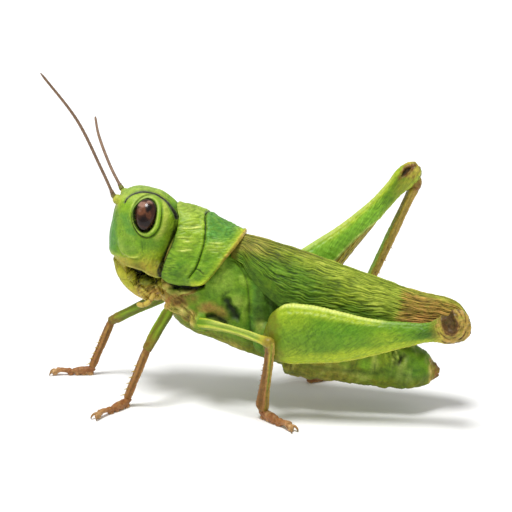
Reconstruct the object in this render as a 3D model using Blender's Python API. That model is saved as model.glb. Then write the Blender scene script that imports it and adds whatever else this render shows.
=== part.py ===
"""A life-size still model of a large green grasshopper, standing on five feet.

The head looks along -X and +Z is up. Its left side is -Y. Lengths are in millimetres up to the
point where a mesh is made, and every object hangs from one empty at the middle of the footprint.
"""

import math

import bmesh
import bpy
import numpy as np
from mathutils import Vector

MM = 0.001
GAP = 0.3  # clearance between neighbouring pieces
LEFT, RIGHT = -1, 1

# Head capsule, as level slices: height, front, rear, half width
HEAD = [
    (19.9, -21.2, -14.6, 3.7),
    (21.0, -21.6, -13.2, 4.3),
    (23.0, -22.25, -12.2, 4.9),
    (25.4, -22.4, -11.3, 5.2),
    (27.8, -21.9, -10.9, 5.3),
    (29.8, -21.4, -11.5, 5.1),
    (31.1, -20.9, -13.3, 4.2),
    (32.1, -20.2, -15.1, 2.9),
    (32.8, -18.9, -16.8, 1.2),
]
HEAD_RINGS, HEAD_POWER = 13, 2.2  # power is the superellipse's: 2 is an ellipse and more is squarer
# Clypeus and labrum, the plate before the mouth, in the same columns
LABRUM = [
    (15.3, -17.2, -15.6, 1.1),
    (16.2, -18.5, -16.2, 2.0),
    (17.4, -19.8, -17.0, 2.7),
    (18.8, -20.8, -17.9, 3.2),
    (19.6, -21.1, -18.4, 3.4),
]
LABRUM_RINGS, LABRUM_SIDES, LABRUM_POWER = 6, 16, 2.6
MANDIBLE, MANDIBLE_RADII = (-16.9, 1.9, 18.2), (2.2, 1.9, 2.0)
LABIUM, LABIUM_RADII = (-13.9, 0, 17.6), (1.5, 2.6, 2.0)
MIDDLE_SLICE = [(-40, 0), (40, 0), (40, 60), (-40, 60)]  # outline that parts the mandibles
JAWS_REACH = (2.5, 4.2, 2.3)  # the space round both mandibles that the labium leaves
# Palp, as places with a radius each
PALP = [
    (-14.9, 3.35, 17.4, 0.42),
    (-15.5, 3.9, 16.2, 0.46),
    (-16.6, 3.8, 15.5, 0.42),
    (-17.7, 3.3, 15.4, 0.36),
]
EYE = (-15.65, 4.7, 29.7)  # centre, mirrored for the other side
RIGHT_EYE_DROP = 0.5  # the right eye sits this much lower
EYE_RADII = (1.6, 1.2, 2.3)
EYE_LEAN = math.radians(27)  # the top of each eye leans in
ORBIT_RADII = (2.3, 3.4)  # the swollen ring round the eye, along X and Z
ORBIT_RISE = 0.45
ORBIT_END = 1.25  # where the swelling has run out, as a share of its radii

# Trunk, as upright slices: X, underside, top, half width
TRUNK = [
    (-14.0, 15.6, 24.5, 2.9),
    (-12.4, 12.9, 27.2, 4.1),
    (-10.0, 11.1, 27.8, 5.0),
    (-6.0, 9.8, 26.4, 5.5),
    (-2.0, 8.3, 24.0, 5.6),
    (1.4, 7.3, 22.4, 5.3),
    (5.0, 6.0, 20.4, 4.8),
]
NECK_START, NECK_END, THORAX_END = -14.0, -10.6, 4.9
TRUNK_POWER, ABDOMEN_POWER, ABDOMEN_SIDES = 2.3, 2.15, 18
WIDEST = 0.45  # height of the trunk's widest level, as a share of its depth
ABDOMEN = [
    (5.0, 4.7, 19.6, 4.7),
    (8.0, 4.0, 17.8, 4.8),
    (12.0, 3.8, 15.9, 4.7),
    (17.0, 3.5, 14.0, 4.4),
    (21.0, 3.3, 12.1, 4.0),
    (24.0, 3.5, 10.1, 3.3),
    (25.9, 4.2, 8.6, 2.4),
    (26.9, 5.0, 7.6, 1.4),
]
ABDOMEN_END = 26.9
OVIPOSITOR = [(27.2, 1.1, 1.2), (27.5, 1.0, 1.1), (27.9, 0.55, 0.6)]  # X, half height, half width
OVIPOSITOR_HEIGHT = 6.3
SEGMENTS = 8
SEGMENT_STEP = 0.16  # how far each ring of the abdomen stands out over the next
SEGMENT_RINGS = (0.0, 0.15, 0.7)  # where the slices of each segment lie, as shares of its length

# Pronotum, the saddle behind the head: X, top, half width
SADDLE = [
    (-13.6, 31.8, 5.6),
    (-11.0, 30.9, 6.1),
    (-8.0, 29.6, 6.3),
    (-5.0, 28.1, 6.4),
    (-1.0, 26.1, 6.4),
]
SADDLE_FLOOR, SADDLE_POWER = 17.0, 2.3
SADDLE_OUTLINE = [
    (-13.2, 33.0),
    (-11.7, 31.2),
    (-10.9, 29.6),
    (-11.0, 27.6),
    (-11.7, 25.6),
    (-12.7, 23.2),
    (-13.4, 21.2),
    (-13.3, 20.2),
    (-10.2, 19.5),
    (-7.6, 19.5),
    (-6.6, 20.0),
    (-5.2, 21.5),
    (-3.6, 23.7),
    (-2.3, 25.3),
    (-1.5, 26.6),
    (-2.5, 33.0),
]

# Folded wings as one roof, split along the middle: X, ridge, half width
WINGS = [
    (-3.5, 26.5, 5.7),
    (1.0, 25.5, 5.9),
    (7.0, 23.9, 5.8),
    (13.0, 22.0, 5.3),
    (19.0, 20.1, 4.6),
    (25.0, 18.35, 3.7),
    (28.5, 17.8, 2.9),
    (30.6, 16.8, 2.1),
    (31.9, 15.1, 0.9),
]
WING_FLOOR, WING_POWER = 12.5, 2.1
WING_OUTLINE = [
    (-1.0, 27.5),
    (-2.2, 25.1),
    (-3.1, 23.8),
    (-1.3, 22.9),
    (-0.2, 21.2),
    (2.2, 18.6),
    (4.5, 16.8),
    (10.0, 15.5),
    (20.0, 14.7),
    (28.0, 14.2),
    (31.4, 14.1),
    (32.4, 14.6),
    (33.0, 27.5),
]

# Hind thigh, along itself: distance, lower and upper half height, half thickness
THIGHS = {
    LEFT: [
        (0.0, 1.4, 1.7, 1.0),
        (1.2, 2.6, 4.6, 1.6),
        (3.0, 3.0, 5.5, 1.9),
        (7.0, 3.3, 5.3, 1.95),
        (11.2, 3.4, 4.05, 1.8),
        (15.6, 2.8, 2.6, 1.5),
        (20.5, 1.9, 1.7, 1.2),
        (24.6, 1.4, 1.5, 1.1),
        (26.6, 1.9, 2.6, 1.35),
        (28.0, 1.8, 3.1, 1.4),
        (29.2, 1.3, 2.7, 1.15),
        (30.0, 0.6, 1.6, 0.5),
    ],
    RIGHT: [
        (0.0, 1.3, 1.9, 1.1),
        (1.5, 1.9, 4.4, 1.5),
        (4.0, 2.0, 5.6, 1.65),
        (8.0, 2.2, 5.1, 1.6),
        (12.4, 1.9, 3.9, 1.5),
        (15.2, 1.7, 3.05, 1.35),
        (18.6, 1.5, 2.3, 1.2),
        (23.6, 1.2, 1.65, 1.05),
        (26.4, 1.3, 1.75, 1.15),
        (28.4, 1.7, 2.0, 1.3),
        (30.0, 1.8, 1.7, 1.3),
        (31.0, 1.2, 1.1, 1.0),
        (31.4, 0.6, 0.6, 0.5),
    ],
}

# Every leg: hip, knee, ankle and toe
LEGS = {
    ("front", LEFT): ((-11.9, -4.6, 15.9), (-15.2, -7.2, 9.8), (-18.7, -6.3, 1.5), (-21.9, -12.3, 0.5)),
    ("front", RIGHT): ((-14.4, 3.7, 15.1), (-24.5, 6.4, 9.4), (-28.0, 6.6, 1.5), (-34.2, 5.2, 0.5)),
    ("middle", LEFT): ((-8.1, -5.9, 13.9), (4.2, -11.7, 13.2), (2.4, -7.5, 1.5), (7.5, -12.1, 0.5)),
    ("middle", RIGHT): ((-5.2, 5.4, 11.4), (1.8, 12.4, 14.0), (7.0, 8.9, 1.5), (11.6, 11.8, 0.5)),
    ("hind", LEFT): ((2.7, -8.6, 12.0), (30.2, -8.6, 15.6), (5.6, -7.2, 10.5), (10.4, -5.85, 11.0)),
    ("hind", RIGHT): ((3.0, 7.4, 11.8), (21.7, 16.5, 33.1), (9.9, 20.4, 1.7), (15.6, 21.8, 0.5)),
}
# Where a shin starts, where that isn't the end of the thigh: the left one is folded into its groove
SHIN_TOPS = {("hind", LEFT): (28.8, -7.3, 14.8), ("hind", RIGHT): (22.5, 16.8, 31.2)}
COXA_RADII = {"front": (1.5, 1.5, 2.1), "middle": (1.9, 1.5, 1.9), "hind": (2.3, 1.3, 2.4)}
COXAE = {
    ("front", LEFT): (-11.4, -4.0, 16.8),
    ("front", RIGHT): (-12.6, 3.7, 15.9),
    ("middle", LEFT): (-7.4, -4.7, 13.9),
    ("middle", RIGHT): (-6.2, 4.6, 12.2),
    ("hind", LEFT): (2.6, -5.3, 11.6),
    ("hind", RIGHT): (2.6, 5.2, 11.6),
}
FEMUR_RADIUS = 0.85
FEMUR_KNOB, TIBIA_KNOB = 1.08, 1.12  # how much thicker a leg piece is at its joints
TIBIA_RADIUS = {"front": 0.62, "middle": 0.8, "hind": 0.8}
TARSUS_RADIUS = {"front": 0.62, "middle": 0.72, "hind": 0.62}
FOLDED_TARSUS_RADIUS = 0.48
HEEL = 0.3  # how far the foot stands back from the ankle
SOLE = 0.78  # height of a standing foot's axis, as a share of its radius, which leaves flat pads
CLAW_RADIUS, CLAW_REACH = 0.26, 1.3
# The foot's pads, as share of its length and of its radius
PADS = [
    (0.0, 0.6),
    (0.08, 1.0),
    (0.28, 1.05),
    (0.36, 0.75),
    (0.44, 1.0),
    (0.6, 0.9),
    (0.68, 0.7),
    (0.9, 0.8),
    (1.0, 0.5),
]
# One claw, as share of its reach and of its radius
CLAW = [(0.0, 1.0), (0.35, 1.0), (0.7, 0.8), (1.0, 0.35)]
CLAW_SPREAD, CLAW_DROP = 0.55, 0.25

ANTENNAE = {
    LEFT: ((-21.2, -1.9, 31.5), (-22.7, -3.5, 36.3), (-25.3, -6.2, 43.8), (-29.5, -9.2, 50.9)),
    RIGHT: ((-21.0, 1.9, 31.9), (-23.8, 5.4, 34.8), (-26.9, 10.4, 38.4), (-28.5, 14.0, 40.9)),
}
ANTENNA_BASE, ANTENNA_RADIUS, ANTENNA_TIP = (0.55, 0.42), 0.32, 0.26

BODY_SIDES, LIMB_SIDES, FOOT_SIDES = 22, 10, 8

PAINTS = {
    "green_shell": ((0.15, 0.36, 0.035), 0.42),
    "saddle_shell": ((0.22, 0.38, 0.04), 0.45),
    "flesh": ((0.14, 0.27, 0.03), 0.5),
    "wing": ((0.2, 0.2, 0.05), 0.6),
    "mouth": ((0.36, 0.3, 0.04), 0.5),
    "eye": ((0.055, 0.012, 0.006), 0.12),
    "antenna": ((0.2, 0.09, 0.05), 0.5),
    "thigh": ((0.17, 0.38, 0.03), 0.4),
    "shin": ((0.24, 0.16, 0.03), 0.45),
    "foot": ((0.2, 0.08, 0.02), 0.45),
}


def clear_scene():
    for thing in list(bpy.data.objects):
        bpy.data.objects.remove(thing, do_unlink=True)


def new_collection(name):
    made = bpy.data.collections.new(name)
    bpy.context.scene.collection.children.link(made)
    return made


def paint(obj, slot):
    colour, roughness = PAINTS[slot]
    material = bpy.data.materials.get(slot)
    if material is None:
        material = bpy.data.materials.new(slot)
        material.use_nodes = True
        shader = material.node_tree.nodes["Principled BSDF"]
        shader.inputs["Base Color"].default_value = (*colour, 1.0)
        shader.inputs["Roughness"].default_value = roughness
        shader.inputs["Metallic"].default_value = 0.0
    obj.data.materials.append(material)


def smooth(stations, at):
    """The values at a place of a smooth curve through stations, each (place, value, ...)."""
    table = np.array(stations, float)
    places, values = table[:, 0], table[:, 1:]
    slopes = np.gradient(values, places, axis=0)
    i = int(np.clip(np.searchsorted(places, at) - 1, 0, len(places) - 2))
    span = places[i + 1] - places[i]
    t = (at - places[i]) / span
    start = (2 * t**3 - 3 * t**2 + 1) * values[i] + (t**3 - 2 * t**2 + t) * span * slopes[i]
    end = (3 * t**2 - 2 * t**3) * values[i + 1] + (t**3 - t**2) * span * slopes[i + 1]
    return start + end


def spread(first, last, count):
    """Places from first to last that crowd towards both ends."""
    turns = np.linspace(0, math.pi, count)
    return first + (last - first) * (1 - np.cos(turns)) / 2


def bent(turn, power):
    """Cosine and sine of a superellipse: 2 is an ellipse and more is squarer."""
    c, s = math.cos(turn), math.sin(turn)
    return math.copysign(abs(c) ** (2 / power), c), math.copysign(abs(s) ** (2 / power), s)


def turns(sides):
    return [2 * math.pi * (i + 0.5) / sides for i in range(sides)]


def add_mesh(name, bm, origin, collection):
    bmesh.ops.recalc_face_normals(bm, faces=bm.faces)
    mesh = bpy.data.meshes.new(name)
    bm.to_mesh(mesh)
    bm.free()
    mesh.polygons.foreach_set("use_smooth", [True] * len(mesh.polygons))
    obj = bpy.data.objects.new(name, mesh)
    obj.location = Vector(origin) * MM
    obj.parent = ROOT
    collection.objects.link(obj)
    if collection == CUTTERS:
        obj.hide_render = True
        obj.display_type = "WIRE"
    return obj


def loft(name, rings, collection, origin=(0, 0, 0)):
    """A closed body over rings with as many points each, capped at both ends."""
    bm = bmesh.new()
    loops = [[bm.verts.new((Vector(point) - Vector(origin)) * MM) for point in ring] for ring in rings]
    for near, far in zip(loops, loops[1:]):
        for i in range(len(near)):
            j = (i + 1) % len(near)
            bm.faces.new((near[i], near[j], far[j], far[i]))
    bm.faces.new(loops[0])
    bm.faces.new(loops[-1])
    return add_mesh(name, bm, origin, collection)


def ellipsoid(name, centre, radii, collection, across=16, rings=9, grow=0.0, lean=0.0):
    bm = bmesh.new()
    bmesh.ops.create_uvsphere(bm, u_segments=across, v_segments=rings, radius=1)
    for vert in bm.verts:
        vert.co = Vector([vert.co[k] * (radii[k] + grow) * MM for k in range(3)])
    obj = add_mesh(name, bm, centre, collection)
    obj.rotation_euler.x = lean
    return obj


def boolean(obj, cutter, operation):
    step = obj.modifiers.new(cutter.name, "BOOLEAN")
    step.object = cutter
    step.operation = operation
    step.solver = "EXACT"


def level_ring(height, stations, grow=0.0, power=HEAD_POWER, sides=BODY_SIDES):
    front, rear, half = smooth(stations, height)
    middle, reach = (front + rear) / 2, (rear - front) / 2 + grow
    ring = []
    for turn in turns(sides):
        c, s = bent(turn, power)
        ring.append((middle + reach * c, (half + grow) * s, height))
    return ring


def orbit_swell(x, z):
    """How far the head stands out round the eye, from its rim to nothing."""
    reach = math.hypot((x - EYE[0]) / ORBIT_RADII[0], (z - EYE[2]) / ORBIT_RADII[1])
    return ORBIT_RISE * max(0.0, ORBIT_END - reach) ** 0.5


def head_rings(grow=0.0):
    rings = []
    for height in spread(HEAD[0][0] - grow, HEAD[-1][0] + grow, HEAD_RINGS):
        inside = float(np.clip(height, HEAD[0][0], HEAD[-1][0]))
        ring = level_ring(inside, HEAD, grow)
        rings.append([(x, y + math.copysign(orbit_swell(x, height), y), height) for x, y, _ in ring])
    return rings


def labrum_rings(grow):
    heights = spread(LABRUM[0][0], LABRUM[-1][0], LABRUM_RINGS)
    return [level_ring(height, LABRUM, grow, LABRUM_POWER, LABRUM_SIDES) for height in heights]


def make_head():
    head = loft("head", head_rings(), BODY)
    paint(head, "green_shell")
    labrum = loft("labrum", labrum_rings(0.0), BODY)
    paint(labrum, "mouth")
    around_labrum = loft("around_labrum", labrum_rings(GAP), CUTTERS)
    jaw_floor = level_ring(HEAD[0][0] - GAP, [(s[0] - GAP, *s[1:]) for s in HEAD], GAP)
    under_head = loft("under_head", [jaw_floor, [(x, y, 34.0) for x, y, _ in jaw_floor]], CUTTERS)
    between_jaws = prism("between_jaws", MIDDLE_SLICE, -GAP / 2, GAP / 2)
    for side, label in ((LEFT, "left"), (RIGHT, "right")):
        centre = (MANDIBLE[0], side * MANDIBLE[1], MANDIBLE[2])
        jaw = ellipsoid(f"mandible_{label}", centre, MANDIBLE_RADII, BODY, 14, 8)
        paint(jaw, "mouth")
        for cutter in (around_labrum, under_head, between_jaws):
            boolean(jaw, cutter, "DIFFERENCE")
        make_palp(side, label)
        make_eye(head, side, label)
        make_antenna(side, label)
    chin = ellipsoid("labium", LABIUM, LABIUM_RADII, BODY, 14, 8)
    paint(chin, "mouth")
    boolean(chin, under_head, "DIFFERENCE")
    middle = (MANDIBLE[0], 0, MANDIBLE[2])
    boolean(chin, ellipsoid("around_jaws", middle, JAWS_REACH, CUTTERS, 14, 8), "DIFFERENCE")
    boolean(chin, trunk_solid("neck_at_chin", NECK_START, NECK_END, GAP), "DIFFERENCE")


def make_palp(side, label):
    path = [(x, side * y, z) for x, y, z, _ in PALP]
    palp = tube(f"palp_{label}", path, [radius for *_, radius in PALP])
    paint(palp, "mouth")


def make_eye(head, side, label):
    centre = (EYE[0], side * EYE[1], EYE[2] - (RIGHT_EYE_DROP if side == RIGHT else 0))
    lean = side * EYE_LEAN
    eye = ellipsoid(f"eye_{label}", centre, EYE_RADII, BODY, 12, 8, lean=lean)
    paint(eye, "eye")
    socket = ellipsoid(f"socket_{label}", centre, EYE_RADII, CUTTERS, 12, 8, 0.12, lean)
    boolean(head, socket, "DIFFERENCE")


def bow(places, count):
    """Points spread evenly along a smooth curve through a few places."""
    table = [(i / (len(places) - 1), *place) for i, place in enumerate(places)]
    return [tuple(smooth(table, i / (count - 1))) for i in range(count)]


def tube(name, path, radii, collection=None, resolution=2):
    """A round piece along a path, with a radius at each point and closed ends."""
    collection = collection or BODY
    curve = bpy.data.curves.new(name, "CURVE")
    curve.dimensions = "3D"
    curve.bevel_depth = MM
    curve.bevel_resolution = resolution
    curve.use_fill_caps = True
    curve.resolution_u = 1
    spline = curve.splines.new("POLY")
    spline.points.add(len(path) - 1)
    origin = Vector(path[0])
    for point, place, radius in zip(spline.points, path, radii):
        point.co = (*((Vector(place) - origin) * MM), 1.0)
        point.radius = radius
    spline.use_smooth = True
    obj = bpy.data.objects.new(name, curve)
    obj.location = origin * MM
    obj.parent = ROOT
    collection.objects.link(obj)
    return obj


def make_antenna(side, label):
    path = bow(ANTENNAE[side], 10)
    step = (ANTENNA_RADIUS - ANTENNA_TIP) / (len(path) - 1)
    radii = [*ANTENNA_BASE] + [ANTENNA_RADIUS - step * i for i in range(2, len(path))]
    antenna = tube(f"antenna_{label}", path, radii)
    paint(antenna, "antenna")


def upright_ring(x, low, middle, high, half, power, sides=BODY_SIDES):
    ring = []
    for turn in turns(sides):
        c, s = bent(turn, power)
        ring.append((x, half * c, middle + (high - middle if s > 0 else middle - low) * s))
    return ring


def trunk_solid(name, start, end, grow, collection=None):
    rings = []
    for x in np.linspace(start, end, max(5, int((end - start) / 1.6))):
        low, high, half = smooth(TRUNK, x)
        middle = low + WIDEST * (high - low)
        rings.append(upright_ring(x, low - grow, middle, high + grow, half + grow, TRUNK_POWER))
    return loft(name, rings, collection or CUTTERS)


def abdomen_solid(name, start, end, grow, steps, collection=None):
    rings = []
    for x in steps:
        low, high, half = smooth(ABDOMEN, x)
        place = (x - start) / (end - start) * SEGMENTS
        ridge = SEGMENT_STEP * math.sin(math.pi * (place % 1)) ** 0.5 + grow
        middle = low + WIDEST * (high - low)
        shape = (high + ridge, half + ridge, ABDOMEN_POWER, ABDOMEN_SIDES)
        rings.append(upright_ring(x, low - ridge, middle, *shape))
    return loft(name, rings, collection or CUTTERS)


def make_trunk():
    neck = trunk_solid("neck", NECK_START, NECK_END, 0.0, BODY)
    thorax = trunk_solid("thorax", NECK_END + GAP, THORAX_END, 0.0, BODY)
    boolean(neck, loft("around_head", head_rings(GAP), CUTTERS), "DIFFERENCE")
    start, end = THORAX_END + GAP, ABDOMEN_END
    long = (end - start) / SEGMENTS
    steps = [start + long * (k + part) for k in range(SEGMENTS) for part in SEGMENT_RINGS]
    abdomen = abdomen_solid("abdomen", start, end, 0.0, [*steps, end], BODY)
    z = OVIPOSITOR_HEIGHT
    tip_rings = [upright_ring(x, z - tall, z, z + tall, half, 2.0, 12) for x, tall, half in OVIPOSITOR]
    tip = loft("ovipositor", tip_rings, BODY)
    for obj in (neck, thorax, abdomen, tip):
        paint(obj, "flesh")


def prism(name, outline, low, high):
    """A cutter that is an outline seen from the side, from low to high along Y."""
    return loft(name, [[(x, y, z) for x, z in outline] for y in (low, high)], CUTTERS)


def arch(name, stations, floor, power, count, collection):
    rings = []
    for x in np.linspace(stations[0][0], stations[-1][0], count):
        high, half = smooth(stations, x)
        rings.append(upright_ring(x, floor - 3, floor + 0.25 * (high - floor), high, half, power))
    return loft(name, rings, collection)


def make_saddle():
    saddle = arch("pronotum", SADDLE, SADDLE_FLOOR, SADDLE_POWER, 10, BODY)
    paint(saddle, "saddle_shell")
    boolean(saddle, prism("saddle_outline", SADDLE_OUTLINE, -12, 12), "INTERSECT")
    boolean(saddle, trunk_solid("under_saddle", NECK_START, THORAX_END, GAP), "DIFFERENCE")
    boolean(saddle, bpy.data.objects["around_head"], "DIFFERENCE")


def make_wings():
    under = trunk_solid("thorax_under_wings", NECK_END, THORAX_END + GAP + 0.1, GAP)
    start = THORAX_END + GAP
    steps = np.linspace(THORAX_END - 0.2, ABDOMEN_END, 12)
    behind = abdomen_solid("abdomen_under_wings", start, ABDOMEN_END, GAP + SEGMENT_STEP, steps)
    for low, high, label in ((-12, -GAP / 2, "left"), (GAP / 2, 12, "right")):
        wing = arch(f"wing_{label}", WINGS, WING_FLOOR, WING_POWER, 15, BODY)
        paint(wing, "wing")
        boolean(wing, prism(f"wing_outline_{label}", WING_OUTLINE, low, high), "INTERSECT")
        boolean(wing, under, "DIFFERENCE")
        boolean(wing, behind, "DIFFERENCE")


def limb(name, start, end, stations, collection, sides=LIMB_SIDES, power=2.0, count=None, grow=0.0):
    """A straight piece from start to end. Its stations hold distance, lower, upper and side radius."""
    start, end = Vector(start), Vector(end)
    along = (end - start).normalized()
    side = along.cross(Vector((0, 0, 1))).normalized()
    up = side.cross(along)
    places = [station[0] for station in stations]
    if count:
        places = spread(places[0], places[-1], count)
    rings = []
    for k, place in enumerate(places):
        low, high, half = smooth(stations, place) + grow
        beyond = {0: -grow, len(places) - 1: grow}.get(k, 0.0)
        ring = []
        for turn in turns(sides):
            c, s = bent(turn, power)
            tall = high if s > 0 else low
            ring.append(start + along * (place + beyond) + side * half * c + up * tall * s)
        rings.append(ring)
    return loft(name, rings, collection, start)


def limb_pair(name, start, end, stations, slot, **shape):
    """A limb piece, and the space round it that is cut from what it meets."""
    piece = limb(name, start, end, stations, BODY, **shape)
    paint(piece, slot)
    return limb(f"around_{name}", start, end, stations, CUTTERS, grow=GAP, **shape)


def slim_stations(r, long, knob):
    """A leg piece that is rounded at both ends and thicker at its joints."""
    return [
        (-0.35 * r, 0.5 * r, 0.5 * r, 0.5 * r),
        (0.4 * r, knob * r, knob * r, knob * r),
        (0.3 * long, r, r, 0.9 * r),
        (0.8 * long, 0.9 * r, 0.9 * r, 0.85 * r),
        (long - 0.4 * r, knob * r, knob * r, knob * r),
        (long + 0.35 * r, 0.5 * r, 0.5 * r, 0.5 * r),
    ]


def make_leg(pair, side):
    label = f"{pair}_{'left' if side == LEFT else 'right'}"
    hip, knee, ankle, toe = (Vector(point) for point in LEGS[pair, side])
    if pair == "hind":
        shape = {"sides": 16, "power": 2.2, "count": 14}
        around_femur = limb_pair(f"femur_{label}", hip, knee, THIGHS[side], "thigh", **shape)
    else:
        thigh = slim_stations(FEMUR_RADIUS, (knee - hip).length, FEMUR_KNOB)
        around_femur = limb_pair(f"femur_{label}", hip, knee, thigh, "thigh")
    folded = (pair, side) == ("hind", LEFT)
    start = Vector(SHIN_TOPS.get((pair, side), knee))
    shin = slim_stations(TIBIA_RADIUS[pair], (ankle - start).length, TIBIA_KNOB)
    around_tibia = limb_pair(f"tibia_{label}", start, ankle, shin, "shin")
    if folded:
        boolean(bpy.data.objects[f"femur_{label}"], around_tibia, "DIFFERENCE")
    else:
        boolean(bpy.data.objects[f"tibia_{label}"], around_femur, "DIFFERENCE")
    foot = make_tarsus(pair, side, label, ankle, toe)
    boolean(foot, around_tibia, "DIFFERENCE")
    coxa = ellipsoid(f"coxa_{label}", COXAE[pair, side], COXA_RADII[pair], BODY, 10, 6)
    paint(coxa, "flesh")
    boolean(coxa, bpy.data.objects["under_saddle"], "DIFFERENCE")
    boolean(coxa, around_femur, "DIFFERENCE")


def make_tarsus(pair, side, label, ankle, toe):
    """The foot: pads in a row, flat on the floor where it stands, and two claws."""
    stands = toe.z < 1
    thick = TARSUS_RADIUS[pair] if stands else FOLDED_TARSUS_RADIUS
    level = SOLE * thick
    heel = Vector((ankle.x, ankle.y, level)) if stands else ankle
    toe = Vector((toe.x, toe.y, level)) if stands else toe
    floor = 0.0 if stands else -math.inf
    along = (toe - heel).normalized()
    across = along.cross(Vector((0, 0, 1))).normalized()
    up = across.cross(along)
    long = (toe - heel).length - CLAW_REACH * 0.6
    rings = []
    for part, share in PADS:
        centre = heel + along * ((long + HEEL) * part - HEEL)
        rings.append(foot_ring(centre, across, up, thick * share, floor, FOOT_SIDES))
    foot = loft(f"tarsus_{label}", rings, BODY, heel)
    paint(foot, "foot")
    for way, suffix in ((-1, "a"), (1, "b")):
        outward = (along + across * CLAW_SPREAD * way).normalized()
        root = heel + along * (long - 0.5) + across * 0.12 * way
        rings = []
        for part, share in CLAW:
            centre = root + outward * CLAW_REACH * part - up * CLAW_DROP * part**2
            rings.append(foot_ring(centre, across, up, CLAW_RADIUS * share, floor + 0.02, 5))
        boolean(foot, loft(f"claw_{label}_{suffix}", rings, CUTTERS), "UNION")
    return foot


def foot_ring(centre, across, up, radius, floor, sides):
    spokes = [across * math.cos(turn) + up * math.sin(turn) for turn in turns(sides)]
    ring = [centre + spoke * radius for spoke in spokes]
    return [(point.x, point.y, max(point.z, floor)) for point in ring]


def centre_on_footprint():
    """Moves the whole animal so that the middle of its bounding box stands at X = Y = 0."""
    bpy.context.view_layer.update()
    graph = bpy.context.evaluated_depsgraph_get()
    corners = []
    for obj in BODY.objects:
        if obj.type == "EMPTY":
            continue
        shape = obj.evaluated_get(graph)
        mesh = shape.to_mesh()
        corners += [shape.matrix_world @ vert.co for vert in mesh.vertices]
        shape.to_mesh_clear()
    for axis in (0, 1):
        low = min(corner[axis] for corner in corners)
        high = max(corner[axis] for corner in corners)
        ROOT.location[axis] = -(low + high) / 2


clear_scene()
BODY = new_collection("grasshopper")
CUTTERS = new_collection("cutters")
ROOT = bpy.data.objects.new("root", None)
BODY.objects.link(ROOT)
make_head()
make_trunk()
make_saddle()
make_wings()
for pair in ("front", "middle", "hind"):
    for side in (LEFT, RIGHT):
        make_leg(pair, side)
centre_on_footprint()
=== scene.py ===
"""The looks of a life-size still model of a large green grasshopper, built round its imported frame.

Shapes are worked out in millimetres of the animal's own frame: head along -X, up +Z, left side -Y,
floor at Z = 0 and the middle plane at Y = 0. put() turns each finished mesh into metres and moves it
to where the frame has it.
"""
import itertools
import math

import bmesh
import bpy
import numpy as np
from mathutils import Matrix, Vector


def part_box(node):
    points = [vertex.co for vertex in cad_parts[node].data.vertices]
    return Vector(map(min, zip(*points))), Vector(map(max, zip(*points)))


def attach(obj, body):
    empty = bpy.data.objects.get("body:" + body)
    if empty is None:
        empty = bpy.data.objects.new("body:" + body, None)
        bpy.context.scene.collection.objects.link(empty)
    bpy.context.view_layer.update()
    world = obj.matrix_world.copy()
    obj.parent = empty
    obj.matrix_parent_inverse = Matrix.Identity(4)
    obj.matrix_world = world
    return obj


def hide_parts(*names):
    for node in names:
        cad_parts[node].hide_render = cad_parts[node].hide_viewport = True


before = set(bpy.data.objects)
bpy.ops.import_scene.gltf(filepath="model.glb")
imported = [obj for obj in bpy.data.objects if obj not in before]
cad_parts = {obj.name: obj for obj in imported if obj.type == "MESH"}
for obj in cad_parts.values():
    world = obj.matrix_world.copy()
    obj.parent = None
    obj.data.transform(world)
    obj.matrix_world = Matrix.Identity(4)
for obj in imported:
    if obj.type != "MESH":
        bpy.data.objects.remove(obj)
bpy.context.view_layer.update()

MM = 0.001
LEFT, RIGHT = -1, 1
SIDES = {LEFT: "left", RIGHT: "right"}
THORAX_START = -10.3
ORIGIN = np.array([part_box("thorax")[0].x - THORAX_START * MM, sum(c.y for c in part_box("thorax")) / 2, 0])

# Head capsule, as level slices: height, front, rear, half width
HEAD = [
    (19.9, -21.2, -14.6, 3.7), (21, -21.6, -13.2, 4.3), (23, -22.25, -12.2, 4.9),
    (25.4, -22.4, -11.3, 5.2), (27.8, -21.9, -10.9, 5.3), (29.8, -21.4, -11.5, 5.1),
    (31.1, -20.9, -13.3, 4.2), (32.1, -20.2, -15.1, 2.9), (32.8, -18.9, -16.8, 1.2),
]
LABRUM = [
    (15.3, -17.2, -15.6, 1.1), (16.2, -18.5, -16.2, 2), (17.4, -19.8, -17, 2.7),
    (18.8, -20.8, -17.9, 3.2), (20.2, -21.4, -18.4, 3.4), (21.3, -21.65, -18.7, 3.2),
    (22.2, -21.75, -19, 2.8), (22.6, -21.4, -19.4, 1.8),
]
EYE_RADII = np.array([1.6, 1.2, 2.35])
EYE_LEAN = math.radians(27)
FACE = (-18, -20)  # X where the front of the head starts and is full
ORBIT = (2, 2.95)  # half width and half height of the ring round the eye

# Trunk, as upright slices: X, underside, top, half width
TRUNK = [
    (-14, 15.6, 24.5, 2.9), (-12.4, 12.9, 27.2, 4.1), (-10, 11.1, 27.8, 5), (-6, 9.8, 26.4, 5.5),
    (-2, 8.3, 24, 5.6), (1.4, 7.3, 22.4, 5.3), (5, 6, 20.4, 4.8),
]
ABDOMEN = [
    (5, 4.7, 19.6, 4.7), (8, 4.35, 17.8, 4.8), (12, 4.2, 15.9, 4.7), (17, 3.85, 14, 4.4),
    (21, 3.65, 12.1, 4), (24, 3.8, 10.3, 3.4), (25.8, 4.2, 9.1, 2.7), (26.9, 4.8, 8.2, 1.9),
]
ABDOMEN_START, ABDOMEN_END, SEGMENTS = 5.2, 26.9, 8

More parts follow.
